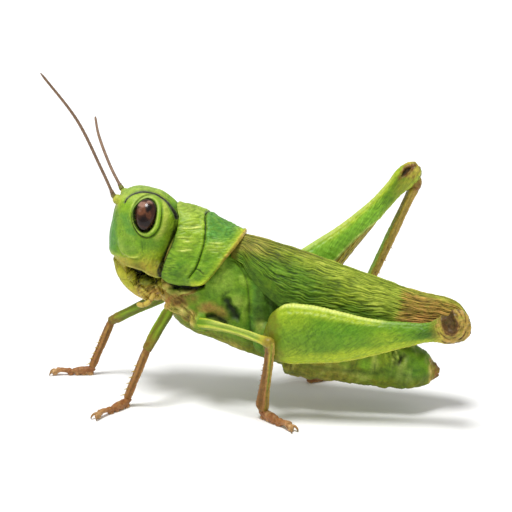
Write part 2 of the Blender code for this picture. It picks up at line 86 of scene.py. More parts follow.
# Pronotum: X, top, half width, then its front and rear edges as height and X
SADDLE = [
    (-13.6, 31.8, 5.6), (-11, 30.9, 6.1), (-8, 29.6, 6.3), (-5, 28.1, 6.4), (-1, 26.1, 6.4),
]
SADDLE_FLOOR, SADDLE_LOWEST = 17, 19.5
SADDLE_FRONT = [(19.5, -10.6), (19.75, -12.4), (20.3, -13.3), (21.2, -13.4), (23.2, -12.7), (25.6, -11.7),
                (27.6, -11), (29.6, -10.9), (31.2, -11.7), (33, -13.2)]
SADDLE_REAR = [(19.5, -7.9), (19.75, -6.9), (20.3, -6.2), (21.5, -5.2), (23.7, -3.6), (25.3, -2.3),
               (26.6, -1.4)]

# Folded wings as one roof: X, ridge, half width, then the lower edge as X and height
WINGS = [
    (-3.5, 26.5, 5.7), (1, 25.5, 5.9), (7, 23.9, 5.8), (13, 22, 5.3), (19, 20.1, 4.6), (25, 18.35, 3.7),
    (28.5, 17.8, 2.9), (30.6, 16.8, 2.1), (31.9, 15.1, 0.9),
]
WING_FLOOR, WING_START, WING_END = 12.5, -3.1, 31.9
WING_EDGE = [(-3.1, 23.8), (-1.3, 22.9), (-0.2, 21.2), (2.2, 18.6), (4.5, 16.8), (10, 15.5), (20, 14.7),
             (28, 14.2), (31, 14), (31.9, 14.3)]

# Hind thigh: distance from the hip, lower and upper half height, half thickness
THIGHS = {
    LEFT: [
        (0, 1.2, 1.4, 1), (1.2, 2.4, 3.9, 1.6), (3, 3, 5.3, 1.9), (7, 3.3, 5.3, 1.95),
        (11.2, 3.4, 4.05, 1.8), (15.6, 2.8, 2.6, 1.5), (20.5, 1.9, 1.7, 1.2), (24.6, 1.4, 1.5, 1.1),
        (26.6, 1.9, 2.6, 1.35), (28, 1.8, 3.1, 1.4), (29.2, 1.3, 2.7, 1.15), (30, 0.6, 1.6, 0.5),
    ],
    RIGHT: [
        (0, 1.3, 1.9, 1.1), (1.5, 1.9, 4.4, 1.5), (4, 2, 5.6, 1.65), (8, 2.2, 5.1, 1.6),
        (12.4, 1.9, 3.9, 1.5), (15.2, 1.7, 3.05, 1.35), (18.6, 1.5, 2.3, 1.2), (23.6, 1.2, 1.65, 1.05),
        (26.4, 1.3, 1.75, 1.15), (28.4, 1.7, 2, 1.3), (30, 1.8, 1.7, 1.3), (31, 1.2, 1.1, 1),
        (31.4, 0.6, 0.6, 0.5),
    ],
}
# Every leg: hip, knee, ankle and toe
LEGS = {
    ("front", LEFT): ((-11.9, -4.6, 15.9), (-15.2, -7.2, 9.8), (-18.7, -6.3, 1.5), (-21.9, -12.3, 0.5)),
    ("front", RIGHT): ((-14.4, 3.7, 15.1), (-24.5, 6.4, 9.4), (-28, 6.6, 1.5), (-34.2, 5.2, 0.5)),
    ("middle", LEFT): ((-8.1, -5.9, 13.9), (4.2, -11.7, 13.2), (2.4, -7.5, 1.5), (7.5, -12.1, 0.5)),
    ("middle", RIGHT): ((-5.2, 5.4, 11.4), (1.8, 12.4, 14), (7, 8.9, 1.5), (11.6, 11.8, 0.5)),
    ("hind", LEFT): ((2.7, -8.6, 12), (30.2, -8.6, 15.6), (5.6, -7.2, 10.5), (10.4, -5.85, 11)),
    ("hind", RIGHT): ((3, 7.4, 11.8), (21.7, 16.5, 33.1), (9.9, 20.4, 1.7), (15.6, 21.8, 0.5)),
}
SHIN_TOPS = {("hind", LEFT): (28.8, -7.3, 14.8), ("hind", RIGHT): (22.5, 16.8, 31.2)}
COXA_RADII = {"front": (1.5, 1.5, 2.1), "middle": (1.9, 1.5, 1.9), "hind": (2.3, 1.3, 2.4)}
COXAE = {
    ("front", LEFT): (-11.4, -4, 16.8),
    ("front", RIGHT): (-12.6, 3.7, 15.9),
    ("middle", LEFT): (-7.4, -4.7, 13.9),
    ("middle", RIGHT): (-6.2, 4.6, 12.2),
    ("hind", LEFT): (2.6, -5.3, 11.6),
    ("hind", RIGHT): (2.6, 5.2, 11.6),
}
FEMUR_RADIUS = 0.85
TIBIA_RADIUS = {"front": 0.62, "middle": 0.8, "hind": 0.8}
TARSUS_RADIUS = {"front": 0.62, "middle": 0.72, "hind": 0.62}
ANTENNAE = {
    LEFT: ((-21.2, -1.9, 31.5), (-22.7, -3.5, 36.3), (-25.3, -6.2, 43.8), (-29.5, -9.2, 50.9)),
    RIGHT: ((-21, 1.9, 31.9), (-23.8, 5.4, 34.8), (-26.9, 10.4, 38.4), (-28.5, 14, 40.9)),
}
# Each skin over several solids: the width of its quads and its rounds of smoothing
SKINS = {
    "head": (0.095, 7),
    "labrum": (0.07, 6),
    "jaw": (0.065, 4),
    "chin": (0.09, 5),
    "body": (0.158, 7),
    "foot": (0.055, 3),
}


# ---- Numbers along curves, and noise ----

def smooth(stations, at):
    """The values at places of a smooth curve through stations, each (place, value, ...)."""
    table = np.array(stations, float)
    places, values = table[:, 0], table[:, 1:]
    slopes = np.gradient(values, places, axis=0)
    at = np.asarray(at, float)
    i = np.clip(np.searchsorted(places, at) - 1, 0, len(places) - 2)
    span = (places[i + 1] - places[i])[..., None]
    t = (at - places[i])[..., None] / span
    start = (2 * t**3 - 3 * t**2 + 1) * values[i] + (t**3 - 2 * t**2 + t) * span * slopes[i]
    end = (3 * t**2 - 2 * t**3) * values[i + 1] + (t**3 - t**2) * span * slopes[i + 1]
    return start + end


def straight(stations, at):
    """The value at places of a line drawn straight from station to station."""
    table = np.array(stations, float)
    return np.interp(at, table[:, 0], table[:, 1])


def ramp(value, low, high, *more):
    """0 at low and 1 at high, with soft ends. More such pairs multiply it, as to go down again."""
    t = np.clip((value - low) / (high - low), 0, 1)
    rise = t * t * (3 - 2 * t)
    return rise * ramp(value, *more) if more else rise


def bell(value, middle, width):
    """1 at the middle, falling away to both sides."""
    return np.exp(-(((value - middle) / width) ** 2))


def bow(places, count):
    """Points spread evenly along a smooth curve through a few places."""
    table = [(i / (len(places) - 1), *place) for i, place in enumerate(places)]
    return smooth(table, np.linspace(0, 1, count))


def bent(turn, power):
    """Cosine and sine of a superellipse: 2 is an ellipse and more is squarer."""
    c, s = np.cos(turn), np.sin(turn)
    return np.sign(c) * np.abs(c) ** (2 / power), np.sign(s) * np.abs(s) ** (2 / power)


def turned(degrees):
    """A matrix that turns places in the side view, to slant a pattern."""
    c, s = math.cos(math.radians(degrees)), math.sin(math.radians(degrees))
    return np.array([[c, 0, s], [0, 1, 0], [-s, 0, c]])


DICE = np.random.default_rng(5)
SHUFFLE = DICE.permutation(256)
SLOPES = DICE.normal(size=(256, 3))
SLOPES /= np.linalg.norm(SLOPES, axis=1, keepdims=True)


def noise(points, size, seed):
    """Smooth noise, about -1 to 1, with swells about size mm across. Size may differ by axis."""
    scaled = points / np.asarray(size, float) + 37.3 * seed
    cell = np.floor(scaled).astype(int)
    part = scaled - cell
    fade = part**3 * (part * (part * 6 - 15) + 10)
    total = np.zeros(len(points))
    for corner in itertools.product((0, 1), repeat=3):
        spot = (cell + corner) & 255
        pick = SHUFFLE[(SHUFFLE[(SHUFFLE[spot[:, 0]] + spot[:, 1]) & 255] + spot[:, 2]) & 255]
        weight = np.where(corner, fade, 1 - fade).prod(axis=1)
        total += weight * ((part - corner) * SLOPES[pick]).sum(axis=1)
    return 1.6 * total


def rough(points, size, seed):
    """Noise with finer and fainter noise on it."""
    size = np.asarray(size, float)
    return sum(noise(points, size / 2**k, seed + k) / 2**k for k in range(3)) / 1.5


def ribs(points, size, seed, tall, cap, down):
    """Rounded ribs, tall at most up to a cap, over a floor that lies down by a little."""
    return tall * np.minimum(np.abs(noise(points, size, seed)), cap) - down


def creased(points, size, seed, sharp=3):
    """1 on thin winding lines about size mm apart, and 0 between them."""
    return np.clip(1 - sharp * np.abs(noise(points, size, seed)), 0, 1) ** 1.5


# ---- Points and faces ----

def unit(vector):
    return np.asarray(vector, float) / np.linalg.norm(vector)


def quads(rows, columns, wrap):
    """Four-sided faces over a grid of points. Wrap joins its last column to its first."""
    i, j = np.meshgrid(np.arange(rows - 1), np.arange(columns if wrap else columns - 1), indexing="ij")
    k = (j + 1) % columns
    corners = (i * columns + j, i * columns + k, (i + 1) * columns + k, (i + 1) * columns + j)
    return np.stack(corners, -1).reshape(-1, 4)


def closed_loft(rings):
    """A closed solid over rings with as many points each, as points and faces."""
    rows, columns = rings.shape[:2]
    faces = quads(rows, columns, True).tolist()
    faces.append(list(range(columns - 1, -1, -1)))
    faces.append(list(range((rows - 1) * columns, rows * columns)))
    return rings.reshape(-1, 3), faces


def sweep(path, radii, sides):
    """Rings round a path, which do not twist, with a radius at each point or at each point and turn."""
    path = np.asarray(path, float)
    steps = np.gradient(path, axis=0)
    steps /= np.linalg.norm(steps, axis=1, keepdims=True)
    across = np.cross(steps[0], (0, 0, 1))
    turn = np.arange(sides) * 2 * math.pi / sides
    radii = np.asarray(radii, float)
    if radii.ndim == 1:
        radii = radii[:, None] * np.ones(sides)
    rings = []
    for place, step, radius in zip(path, steps, radii):
        across = across - step * (across @ step)
        across /= np.linalg.norm(across)
        up = np.cross(across, step)
        rings.append(place + radius[:, None] * (np.outer(np.cos(turn), across) + np.outer(np.sin(turn), up)))
    return np.array(rings)


def plate(outer, inner):
    """A closed thin plate between two open grids of points, as points and faces."""
    rows, columns = outer.shape[:2]
    count = rows * columns
    top = quads(rows, columns, False)
    index = np.arange(count).reshape(rows, columns)
    border = np.concatenate([index[0, :-1], index[:-1, -1], index[-1, :0:-1], index[:0:-1, 0]])
    after = np.roll(border, -1)
    rim = np.stack([after, border, border + count, after + count], -1)
    faces = np.concatenate([top, top[:, ::-1] + count, rim])
    return np.concatenate([outer.reshape(-1, 3), inner.reshape(-1, 3)]), faces.tolist()


def ball(centre, radii, rows=14, columns=20):
    """A closed ellipsoid, as points and faces."""
    rise = np.linspace(0.03, math.pi - 0.03, rows)[:, None]
    around = np.arange(columns) * 2 * math.pi / columns
    flat = np.sin(rise)
    sphere = np.stack([flat * np.cos(around), flat * np.sin(around), np.cos(rise) * np.ones(columns)], -1)
    return closed_loft(sphere * radii + centre)


def mesh_of(name, points, faces):
    """A mesh whose faces point out."""
    mesh = bpy.data.meshes.new(name)
    mesh.from_pydata(np.asarray(points).tolist(), [], faces)
    mesh.update()
    mesh.calc_loop_triangles()
    corners = np.empty(len(mesh.loop_triangles) * 3, int)
    mesh.loop_triangles.foreach_get("vertices", corners)
    triangles = np.asarray(points)[corners.reshape(-1, 3)]
    if np.linalg.det(triangles - triangles.mean(axis=(0, 1))).sum() < 0:
        mesh.flip_normals()
    return mesh


def joined(name, solids):
    """One mesh that holds several closed solids."""
    work = bmesh.new()
    for points, faces in solids:
        part = mesh_of("part", points, faces)
        work.from_mesh(part)
        bpy.data.meshes.remove(part)
    mesh = bpy.data.meshes.new(name)
    work.to_mesh(mesh)
    work.free()
    return mesh


def skin_over(name, solids):
    """One closed skin over solids that overlap, in even quads."""
    cell, rounds = SKINS[name]
    obj = bpy.data.objects.new(name, joined(name, solids))
    bpy.context.scene.collection.objects.link(obj)
    remesh = obj.modifiers.new("skin", "REMESH")
    remesh.mode = "VOXEL"
    remesh.voxel_size = cell
    soften = obj.modifiers.new("soften", "SMOOTH")
    soften.factor = 0.5
    soften.iterations = rounds
    bpy.context.view_layer.update()
    mesh = bpy.data.meshes.new_from_object(obj.evaluated_get(bpy.context.evaluated_depsgraph_get()))
    bpy.data.objects.remove(obj)
    return mesh


def points_of(mesh):
    points = np.empty(len(mesh.vertices) * 3)
    mesh.vertices.foreach_get("co", points)
    return points.reshape(-1, 3)


def normals_of(mesh):
    normals = np.empty(len(mesh.vertices) * 3)
    mesh.vertex_normals.foreach_get("vector", normals)
    return normals.reshape(-1, 3)


def grid_normals(grid):
    """The way out of a grid of points that arches over Y = 0."""
    normals = np.cross(np.gradient(grid, axis=0), np.gradient(grid, axis=1))
    normals /= np.linalg.norm(normals, axis=2, keepdims=True) + 1e-12
    return normals * np.sign((normals[..., 1] * grid[..., 1]).sum())


LINE_REACH, FAR = 2.5, 1e9  # how far from a line distances are worked out, and what they are beyond that


class Sculpt:
    """The points of a surface, with ways to raise, cut and mark them.

    Places on it are given with Y above 0 and stand for both sides alike.
    """

    def __init__(self, points, normals):
        self.points = points
        self.normals = normals
        self.rest = points * (1, 0, 1) + np.abs(points) * (0, 1, 0)
        self.marks = {}
        self.painted_shading = np.zeros(len(points))

    def relief(self, amount, painted_shading):
        """Fine detail, whose tops are marked for a painted highlight and whose bottoms for painted shade."""
        self.lift(amount)
        self.painted_shading = self.painted_shading + painted_shading * np.asarray(amount)

    def lift(self, amount):
        """Moves the surface out, or in where the amount is below 0."""
        self.points = self.points + self.normals * np.asarray(amount)[:, None]

    def mark(self, **amounts):
        """Marks places for the layers of a finish, 0 to 1."""
        for name, amount in amounts.items():
            before = self.marks.get(name, np.zeros(len(self.points)))
            self.marks[name] = np.maximum(before, np.clip(amount, 0, 1))

    def line(self, places, count=40):
        """Distance of every point to a curve laid on the surface, and how far along it each is."""
        curve = bow(places, count)
        near = [int(np.argmin(((self.rest - place) ** 2).sum(axis=1))) for place in curve]
        curve = self.rest[near]
        for _ in range(2):
            curve[1:-1] = (curve[:-2] + 2 * curve[1:-1] + curve[2:]) / 4
        low, high = curve.min(axis=0) - LINE_REACH, curve.max(axis=0) + LINE_REACH
        box = ((self.rest > low) & (self.rest < high)).all(axis=1)
        some = self.rest[box]
        best = np.full(len(some), FAR)
        share = np.zeros(len(some))
        for k in range(count - 1):
            step = curve[k + 1] - curve[k]
            t = np.clip(((some - curve[k]) @ step) / (step @ step + 1e-12), 0, 1)
            away = np.linalg.norm(some - curve[k] - t[:, None] * step, axis=1)
            closer = away < best
            best[closer] = away[closer]
            share[closer] = (k + t[closer]) / (count - 1)
        distance = np.full(len(self.rest), FAR)
        distance[box] = best
        along = np.zeros(len(self.rest))
        along[box] = share
        return distance, along

    def groove(self, places, width, depth, mark, strength, taper=True):
        """A cut along a curve, with painted shade at its bottom, running out at its ends."""
        distance, along = self.line(places)
        ends = np.sqrt(np.clip(4 * along * (1 - along), 0, 1)) if taper else 1
        self.lift(-depth * bell(distance, 0, width) * ends)
        self.mark(**{mark: strength * bell(distance, 0, 0.75 * width) * ends})

    def blob(self, centre, radii):
        """1 at a place, falling to 0 a radius away."""
        away = (((self.rest - centre) / radii) ** 2).sum(axis=1)
        return np.exp(-2 * away)

    def onto(self, mesh, copies=1):
        """Gives a mesh these points and marks. A plate has its points, and takes the marks twice."""
        if copies == 1:
            mesh.vertices.foreach_set("co", self.points.ravel())
        # high and low: painted highlight on the tops and painted shade in the dips of the fine relief
        self.marks["high"] = np.clip(self.painted_shading, 0, 1)
        self.marks["low"] = np.clip(-self.painted_shading, 0, 1)
        for name, values in self.marks.items():
            field = mesh.attributes.new(name, "FLOAT", "POINT")
            field.data.foreach_set("value", np.tile(values, copies).astype(np.float32))
        mesh.update()
        return mesh


def sculpt_of(mesh):
    return Sculpt(points_of(mesh), normals_of(mesh))


# ---- Materials ----

class Finish:
    """A material built up in layers, from noise and from the marks that the shapes carry."""

    def __init__(self, name, colour, second, patch):
        self.material = bpy.data.materials.new(name)
        self.material.use_nodes = True
        self.nodes = self.material.node_tree.nodes
        self.shader = self.nodes["Principled BSDF"]
        self.place = self.node("TexCoord", "Object", {})
        blotches = self.span(self.noise(patch, 3), 0.38, 0.62, 0, 1)
        self.colour = self.mix(blotches, colour, second)

    def feed(self, socket, value):
        """Gives a socket a link, a colour or a plain value."""
        if isinstance(value, bpy.types.NodeSocket):
            self.material.node_tree.links.new(value, socket)
        else:
            socket.default_value = (*value, 1) if socket.type == "RGBA" else value

    def node(self, kind, output, inputs, **settings):
        """One output of a new node."""
        node = self.nodes.new("ShaderNode" + kind)
        for name, value in settings.items():
            setattr(node, name, value)
        for key, value in inputs.items():
            self.feed(node.inputs[key], value)
        return node.outputs[output]

    def noise(self, size, detail, stretch=None):
        """A noise value with swells about size mm across."""
        place = self.place
        if stretch:
            place = self.node("Mapping", "Vector", {"Vector": place, "Scale": stretch})
        return self.node("TexNoise", "Fac", {"Vector": place, "Scale": 1 / (size * MM), "Detail": detail})

    def span(self, *numbers):
        """A value moved from one range, low and high, to another."""
        return self.node("MapRange", "Result", dict(enumerate(numbers)))

    def mix(self, factor, first, second, blend="MIX"):
        return self.node("Mix", 2, {0: factor, 6: first, 7: second}, data_type="RGBA", blend_type=blend)

    def marked(self, mark):
        return self.node("Attribute", "Fac", {}, attribute_name=mark)

    def layer(self, mark, colour, ragged=0.35, size=0.7):
        """Another colour where the shape is marked, with an uneven edge."""
        uneven = self.span(self.noise(size, 3), 0.3, 0.7, 1 - ragged, 1 + ragged)
        amount = self.node("Math", 0, {0: self.marked(mark), 1: uneven}, operation="MULTIPLY", use_clamp=True)
        self.colour = self.mix(amount, self.colour, colour)

    def close(self, roughness, grain, bump, variation, specular, flesh=0, stretch=None):
        """Painted shade in dips and highlight on tops, fine variation of colour, gloss and relief, and the
        shader's own settings.
        """
        for mark, painted_light_factor in (("low", DIP_SHADE_TINT), ("high", TOP_HIGHLIGHT_TINT)):
            self.colour = self.mix(self.marked(mark), self.colour, painted_light_factor, "MULTIPLY")
        fine = self.noise(grain, 4, stretch)
        shade = self.span(fine, 0.3, 0.7, 1 - variation, 1 + variation)
        pits = self.node("TexVoronoi", "Distance", {"Vector": self.place, "Scale": 1 / (grain * 0.55 * MM)})
        relief = {"Height": self.mix(0.45, fine, pits), "Strength": 0.6, "Distance": bump * MM}
        settings = {
            "Base Color": self.mix(1, self.colour, shade, "MULTIPLY"),
            "Roughness": self.span(fine, 0.3, 0.7, *roughness),
            "Normal": self.node("Bump", "Normal", relief),
            "Specular IOR Level": specular,
        }
        if flesh:
            settings["Subsurface Weight"] = flesh
            settings["Subsurface Radius"] = (0.6, 1, 0.25)
            settings["Subsurface Scale"] = 0.6 * MM
        for name, value in settings.items():
            self.feed(self.shader.inputs[name], value)


DIP_SHADE_TINT, TOP_HIGHLIGHT_TINT = (0.3, 0.34, 0.3), (1.75, 1.55, 2.4)  # painted shade in dips and painted highlight on tops: what they multiply the colour by
# shade is a colour of painted shade; dark, brown and leaf also serve as painted shade in some places, and pale and
# lime as painted highlights
PALETTE = {
    "fresh": (0.23, 0.5, 0.03),
    "leaf": (0.095, 0.245, 0.008),
    "blue": (0.09, 0.28, 0.034),
    "lime": (0.35, 0.47, 0.016),
    "yellow": (0.48, 0.44, 0.035),
    "pale": (0.6, 0.68, 0.14),
    "olive": (0.15, 0.17, 0.008),
    "tan": (0.42, 0.29, 0.07),
    "rust": (0.34, 0.13, 0.04),
    "brown": (0.23, 0.105, 0.02),
    "shade": (0.05, 0.11, 0.008),
    "slate": (0.055, 0.062, 0.04),
    "dark": (0.01, 0.012, 0.004),
    "ink": (0.008, 0.011, 0.008),
}
# How ragged a layer's edge is and the size of the rags, where not as usual: on large pieces and on small ones
LARGE = {"slate": (0.2, 0.4), "dark": (0.2, 0.4), "ink": (0.1, 0.4)}
SMALL = {"dark": (0.2, 0.3)}
# Each slot: two base colours and the size of their patches, layers in order, colours of its own, edges,
# and what Finish.close takes
LOOKS = {
    "head_shell": (
        (0.195, 0.38, 0.012), (0.24, 0.41, 0.02), 2.4,
        "leaf blue lime yellow pale olive tan brown shade slate dark", {}, LARGE,
        ((0.36, 0.55), 0.16, 0.02, 0.16, 0.24, 0.06),
    ),
    "saddle_shell": (
        (0.24, 0.4, 0.018), (0.17, 0.32, 0.012), 1.8,
        "leaf blue lime yellow pale tan brown shade dark", {"tan": (0.5, 0.34, 0.05)}, LARGE,
        ((0.34, 0.55), 0.16, 0.025, 0.16, 0.26, 0.05),
    ),
    "body_skin": (
        (0.15, 0.3, 0.01), (0.11, 0.23, 0.008), 1.9, "leaf lime olive tan pale brown shade dark ink",
        {"leaf": (0.075, 0.21, 0.016), "lime": (0.255, 0.4, 0.04), "tan": (0.46, 0.36, 0.07)}, LARGE,
        ((0.42, 0.62), 0.2, 0.03, 0.18, 0.18, 0.08),
    ),
    "wing": (
        (0.19, 0.27, 0.012), (0.14, 0.22, 0.01), 1.5, "leaf lime olive tan brown shade dark",
        {"leaf": (0.085, 0.185, 0.008), "lime": (0.28, 0.36, 0.03), "olive": (0.235, 0.228, 0.03),
         "tan": (0.36, 0.25, 0.04)}, LARGE,
        ((0.45, 0.65), 0.22, 0.03, 0.2, 0.16, 0.04, (0.45, 1, 1)),
    ),
    "thigh": (
        (0.15, 0.295, 0.01), (0.12, 0.255, 0.008), 2.6, "fresh leaf lime pale olive tan yellow brown dark",
        {"tan": (0.37, 0.25, 0.045), "brown": (0.16, 0.075, 0.014)}, LARGE,
        ((0.32, 0.48), 0.15, 0.02, 0.12, 0.26, 0.06),
    ),
    "shin": (
        (0.36, 0.23, 0.04), (0.27, 0.15, 0.03), 0.9, "leaf olive yellow tan rust brown dark",
        {"leaf": (0.17, 0.33, 0.02), "tan": (0.52, 0.36, 0.08)}, SMALL,
        ((0.34, 0.52), 0.14, 0.02, 0.18, 0.22, 0.04),
    ),
    "foot": (
        (0.36, 0.16, 0.05), (0.26, 0.1, 0.03), 0.6, "tan rust brown dark", {"tan": (0.58, 0.36, 0.15)}, SMALL,
        ((0.32, 0.52), 0.12, 0.02, 0.2, 0.25, 0.04),
    ),
    "mouth": (
        (0.56, 0.54, 0.04), (0.44, 0.45, 0.03), 1.1, "olive tan rust pale brown dark",
        {"tan": (0.58, 0.4, 0.09), "rust": (0.42, 0.22, 0.04), "pale": (0.6, 0.52, 0.16)}, SMALL,
        ((0.32, 0.5), 0.14, 0.02, 0.16, 0.24, 0.06),
    ),
    "eye": (
        (0.03, 0.01, 0.005), (0.055, 0.02, 0.01), 0.8, "rust tan dark",
        {"rust": (0.14, 0.05, 0.022), "tan": (0.33, 0.18, 0.13), "dark": (0.006, 0.003, 0.003)},
        {"rust": (0.6, 0.5), "tan": (0.6, 0.5)} | SMALL,
        ((0.14, 0.24), 0.08, 0.006, 0.15, 0.2),
    ),
    "feeler": (
        (0.27, 0.165, 0.1), (0.2, 0.12, 0.07), 0.9, "dark olive", {"dark": (0.11, 0.05, 0.025)}, SMALL,
        ((0.35, 0.5), 0.12, 0.015, 0.15, 0.35),
    ),
}


def make_finishes():
    made = {}
    for slot, (base, second, patch, layers, own, edges, closing) in LOOKS.items():
        finish = Finish(slot, base, second, patch)
        for mark in layers.split():
            finish.layer(mark, own.get(mark, PALETTE[mark]), *edges.get(mark, ()))
        finish.close(*closing)
        if slot == "eye":
            finish.shader.inputs["Coat Weight"].default_value = 0.15
            finish.shader.inputs["Coat Roughness"].default_value = 0.05
        made[slot] = finish.material
    return made


def put(name, mesh, slot, *nodes, side=None):
    """Puts a finished mesh into the frame, in place of the CAD nodes that it stands for."""
    end = f"_{SIDES[side]}" if side else ""
    mesh.vertices.foreach_set("co", (points_of(mesh) * MM + ORIGIN).ravel())
    mesh.polygons.foreach_set("use_smooth", [True] * len(mesh.polygons))
    mesh.materials.clear()
    mesh.materials.append(FINISHES[slot])
    mesh.update()
    obj = bpy.data.objects.new(name + end, mesh)
    bpy.context.scene.collection.objects.link(obj)
    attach(obj, "root")
    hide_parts(*(node + end for node in nodes))


# ---- Head ----

EYE = (np.array(sum(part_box("eye_left"), Vector())) / 2 - ORIGIN) / MM * (1, -1, 1)
FAR_EYE_DROP = (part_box("eye_left")[0].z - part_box("eye_right")[0].z) / MM + 0.3
EYE_UP = np.array([0, -math.sin(EYE_LEAN), math.cos(EYE_LEAN)])
EYE_OUT = np.array([0, math.cos(EYE_LEAN), math.sin(EYE_LEAN)])

STRIPE = [(-19.2, 3.5, 31.3), (-18.7, 2.9, 32), (-17.6, 2.1, 32.5), (-16.2, 1.7, 32.6), (-14.4, 1.7, 32),
          (-12.9, 1.9, 30.9), (-11.9, 2.2, 30), (-11.4, 2.5, 29.2)]
CHEEK = np.array([-17.95, 4.9, 25.05])
CHEEK_RIM = [(-20.2, 4.2, 24.7), (-19.2, 4.6, 23.6), (-17.7, 4.8, 22.9), (-16.5, 4.8, 23.1),
             (-15.8, 4.9, 23.9)]
UNDER_EYE = [(-16.3, 5.3, 26.2), (-16.15, 5.1, 24.9), (-16.2, 5, 24)]
# The cheek's lower edge as X and height
CHEEK_FLOOR = [(-19.9, 21.3), (-19.1, 21.5), (-18, 21.4), (-16.7, 21), (-16.1, 20.6), (-15.1, 20.3),
               (-14.4, 20)]


def level_rings(stations, heights, sides, power=2.2):
    """Level rings up Z, with as many points each."""
    front, rear, half = smooth(stations, heights).T
    c, s = bent((np.arange(sides) + 0.5) * 2 * math.pi / sides, power)
    x = ((front + rear) / 2)[:, None] + ((rear - front) / 2)[:, None] * c
    y = half[:, None] * s
    return np.stack([x, y, np.broadcast_to(heights[:, None], x.shape)], -1)


def round_eye(p):
    """Places across and up the eye, and distances from its middle in rings and in swellings."""
    across = p[:, 0] - EYE[0] + 0.12
    rise = (p - EYE) @ EYE_UP
    ring = np.hypot((across - 0.22) / ORBIT[0], rise / ORBIT[1])
    return across, rise, ring, np.hypot((across - 0.4) / 2.5, rise / 3.3)


def shape_orbit(head):
    """The socket of the eye, with a dark line of painted shade and a raised light ring round it, and a painted
    highlight on the swelling above and behind the ring.
    """
    p = head.rest
    _, y, z = p.T
    across, rise, ring, swell = round_eye(p)
    socket = np.hypot(across / EYE_RADII[0], rise / EYE_RADII[2])
    low_side = ramp(rise, 1.8, -1)
    front_side = ramp(across, 1.2, -0.2)
    low_enough = ramp(z, 31.6, 30)
    head.lift(0.38 * ramp(swell, 1.35, 0.7) * ramp(y, 0.5, 2.5) * low_enough)
    head.lift(0.26 * ramp(ring, 1.12, 0.92) * low_enough)
    head.lift(-0.1 * ramp(socket, 1.25, 1.03) - 0.75 * ramp(socket, 1.06, 0.96))
    head.lift(-0.3 * bell(ring, 1.06, 0.05) * np.maximum(low_side, 0.75 * front_side))
    # painted shade: the dark line in the crease under the rim, and dark in the gap round the eye
    lid = np.maximum(low_side, 0.55 * front_side) * ramp(across, 2, 0.6)
    head.mark(dark=0.95 * bell(ring, 1.07, 0.042) * lid)
    head.mark(dark=0.95 * ramp(socket, 1.09, 1.03),
              leaf=0.85 * bell(ring, 0.97, 0.1) * front_side * ramp(rise, -1.5, 0.8))
    behind = ramp(across, 0.6, 1.4) * ramp(rise, 1.6, 0.6)
    head.lift(-0.14 * bell(ring, 1.07, 0.05) * behind)
    head.mark(shade=0.7 * bell(ring, 1.07, 0.06) * behind,
              pale=0.45 * bell(socket, 1.14, 0.05) + 0.4 * bell(ring, 1.2, 0.09) * ramp(rise, 0, 1.6))
    # painted highlight on the swelling round the eye, above and behind the ring
    bright = ramp(swell, 1.3, 1) * ramp(ring, 1.08, 1.25) * ramp(across + 0.5 * rise, -1, 1)
    head.mark(pale=0.5 * bright * (0.75 + 0.4 * noise(p, 0.8, 2)), lime=0.7 * bright)


def draw_stripe(head):
    """The dark broken stripe along the crown."""
    p = head.rest
    away, along = head.line(STRIPE)
    width = 0.16 + 0.15 * ramp(along, 0.1, 0.4) + 0.2 * ramp(along, 0.55, 0.85)
    head.lift(-0.2 * bell(away, 0, 1.3 * width))
    head.mark(slate=ramp(away, 1.25 * width, 0.75 * width),
              dark=0.85 * ramp(away, 0.8 * width, 0.2 * width) * ramp(noise(p, 0.5, 6), -0.5, 0.2),
              shade=0.5 * bell(away, 1.5 * width, 0.4 * width))


def shape_cheek(head):
    """The domed green patch under the eye."""
    p = head.rest
    x, y, z = p.T
    lobe = np.hypot((x - CHEEK[0]) / 2.2, (z - CHEEK[2]) / 2.1) + 9 * (y < 2.5)
    head.lift(0.5 * np.clip(1 - lobe**2, 0, 1) ** 0.7 * ramp(z, 27.2, 24.6))
    core = np.hypot((x - CHEEK[0] + 0.5) / 2, (z - CHEEK[2] - 0.4) / 1.7)
    # pale in the lobe is a painted highlight
    head.mark(leaf=0.9 * ramp(core, 1.2, 0.2) * (y > 2.5),
              pale=0.22 * ramp(core, 1.1, 0.5) * (y > 2.5) * (0.7 + 0.6 * noise(p, 1.2, 11)),
              lime=0.8 * bell(lobe, 0.84, 0.16) * ramp(z, 24.8, 23.4))
    head.mark(pale=0.45 * bell(lobe, 0.88, 0.1) * ramp(z, 24.2, 23.3))
    head.groove(CHEEK_RIM, 0.22, 0.16, "shade", 0.45)
    head.groove(UNDER_EYE, 0.11, 0.09, "shade", 0.7)
    head.mark(leaf=0.6 * head.blob((-13.9, 5.2, 25), (2.4, 3, 2.2)))


def shape_face(head):
    """The step across the face above the lip, and the yellow lower cheek."""
    p = head.rest
    x, y, z = p.T
    front = ramp(x, *FACE)
    seam = z - (22.75 + 0.22 * ramp(y, 2, 4.2))
    head.lift(0.16 * bell(seam, 0.75, 0.6) * front - 0.28 * ramp(seam, 0.12, -0.2) * front)
    head.mark(shade=0.55 * bell(seam, -0.08, 0.1) * front,
              yellow=0.85 * ramp(seam, 0.5, -0.3) * ramp(x, -16.5, -18.5),
              brown=0.3 * ramp(z, 23, 21.6) * ramp(y, 2, 4), lime=0.6 * bell(seam, 0.3, 0.35) * front)
    gena = ramp(head.blob((-14.6, 4.9, 22.2), (3, 3, 2.6)), 0.05, 0.5)
    head.mark(lime=0.8 * gena, yellow=0.85 * gena * ramp(z + 0.25 * (x + 15), 23.6, 21.8))
    folds = creased(p @ turned(28), (0.45, 3, 1.3), 3, 2.2)
    head.relief(-0.06 * folds * gena, 5)
    wrinkled = head.blob((-13.6, 5.3, 27), (2, 3, 2.2))
    head.relief(0.04 * noise(p, (0.7, 0.7, 0.22), 4) * ramp(wrinkled, 0.1, 0.5), 9)


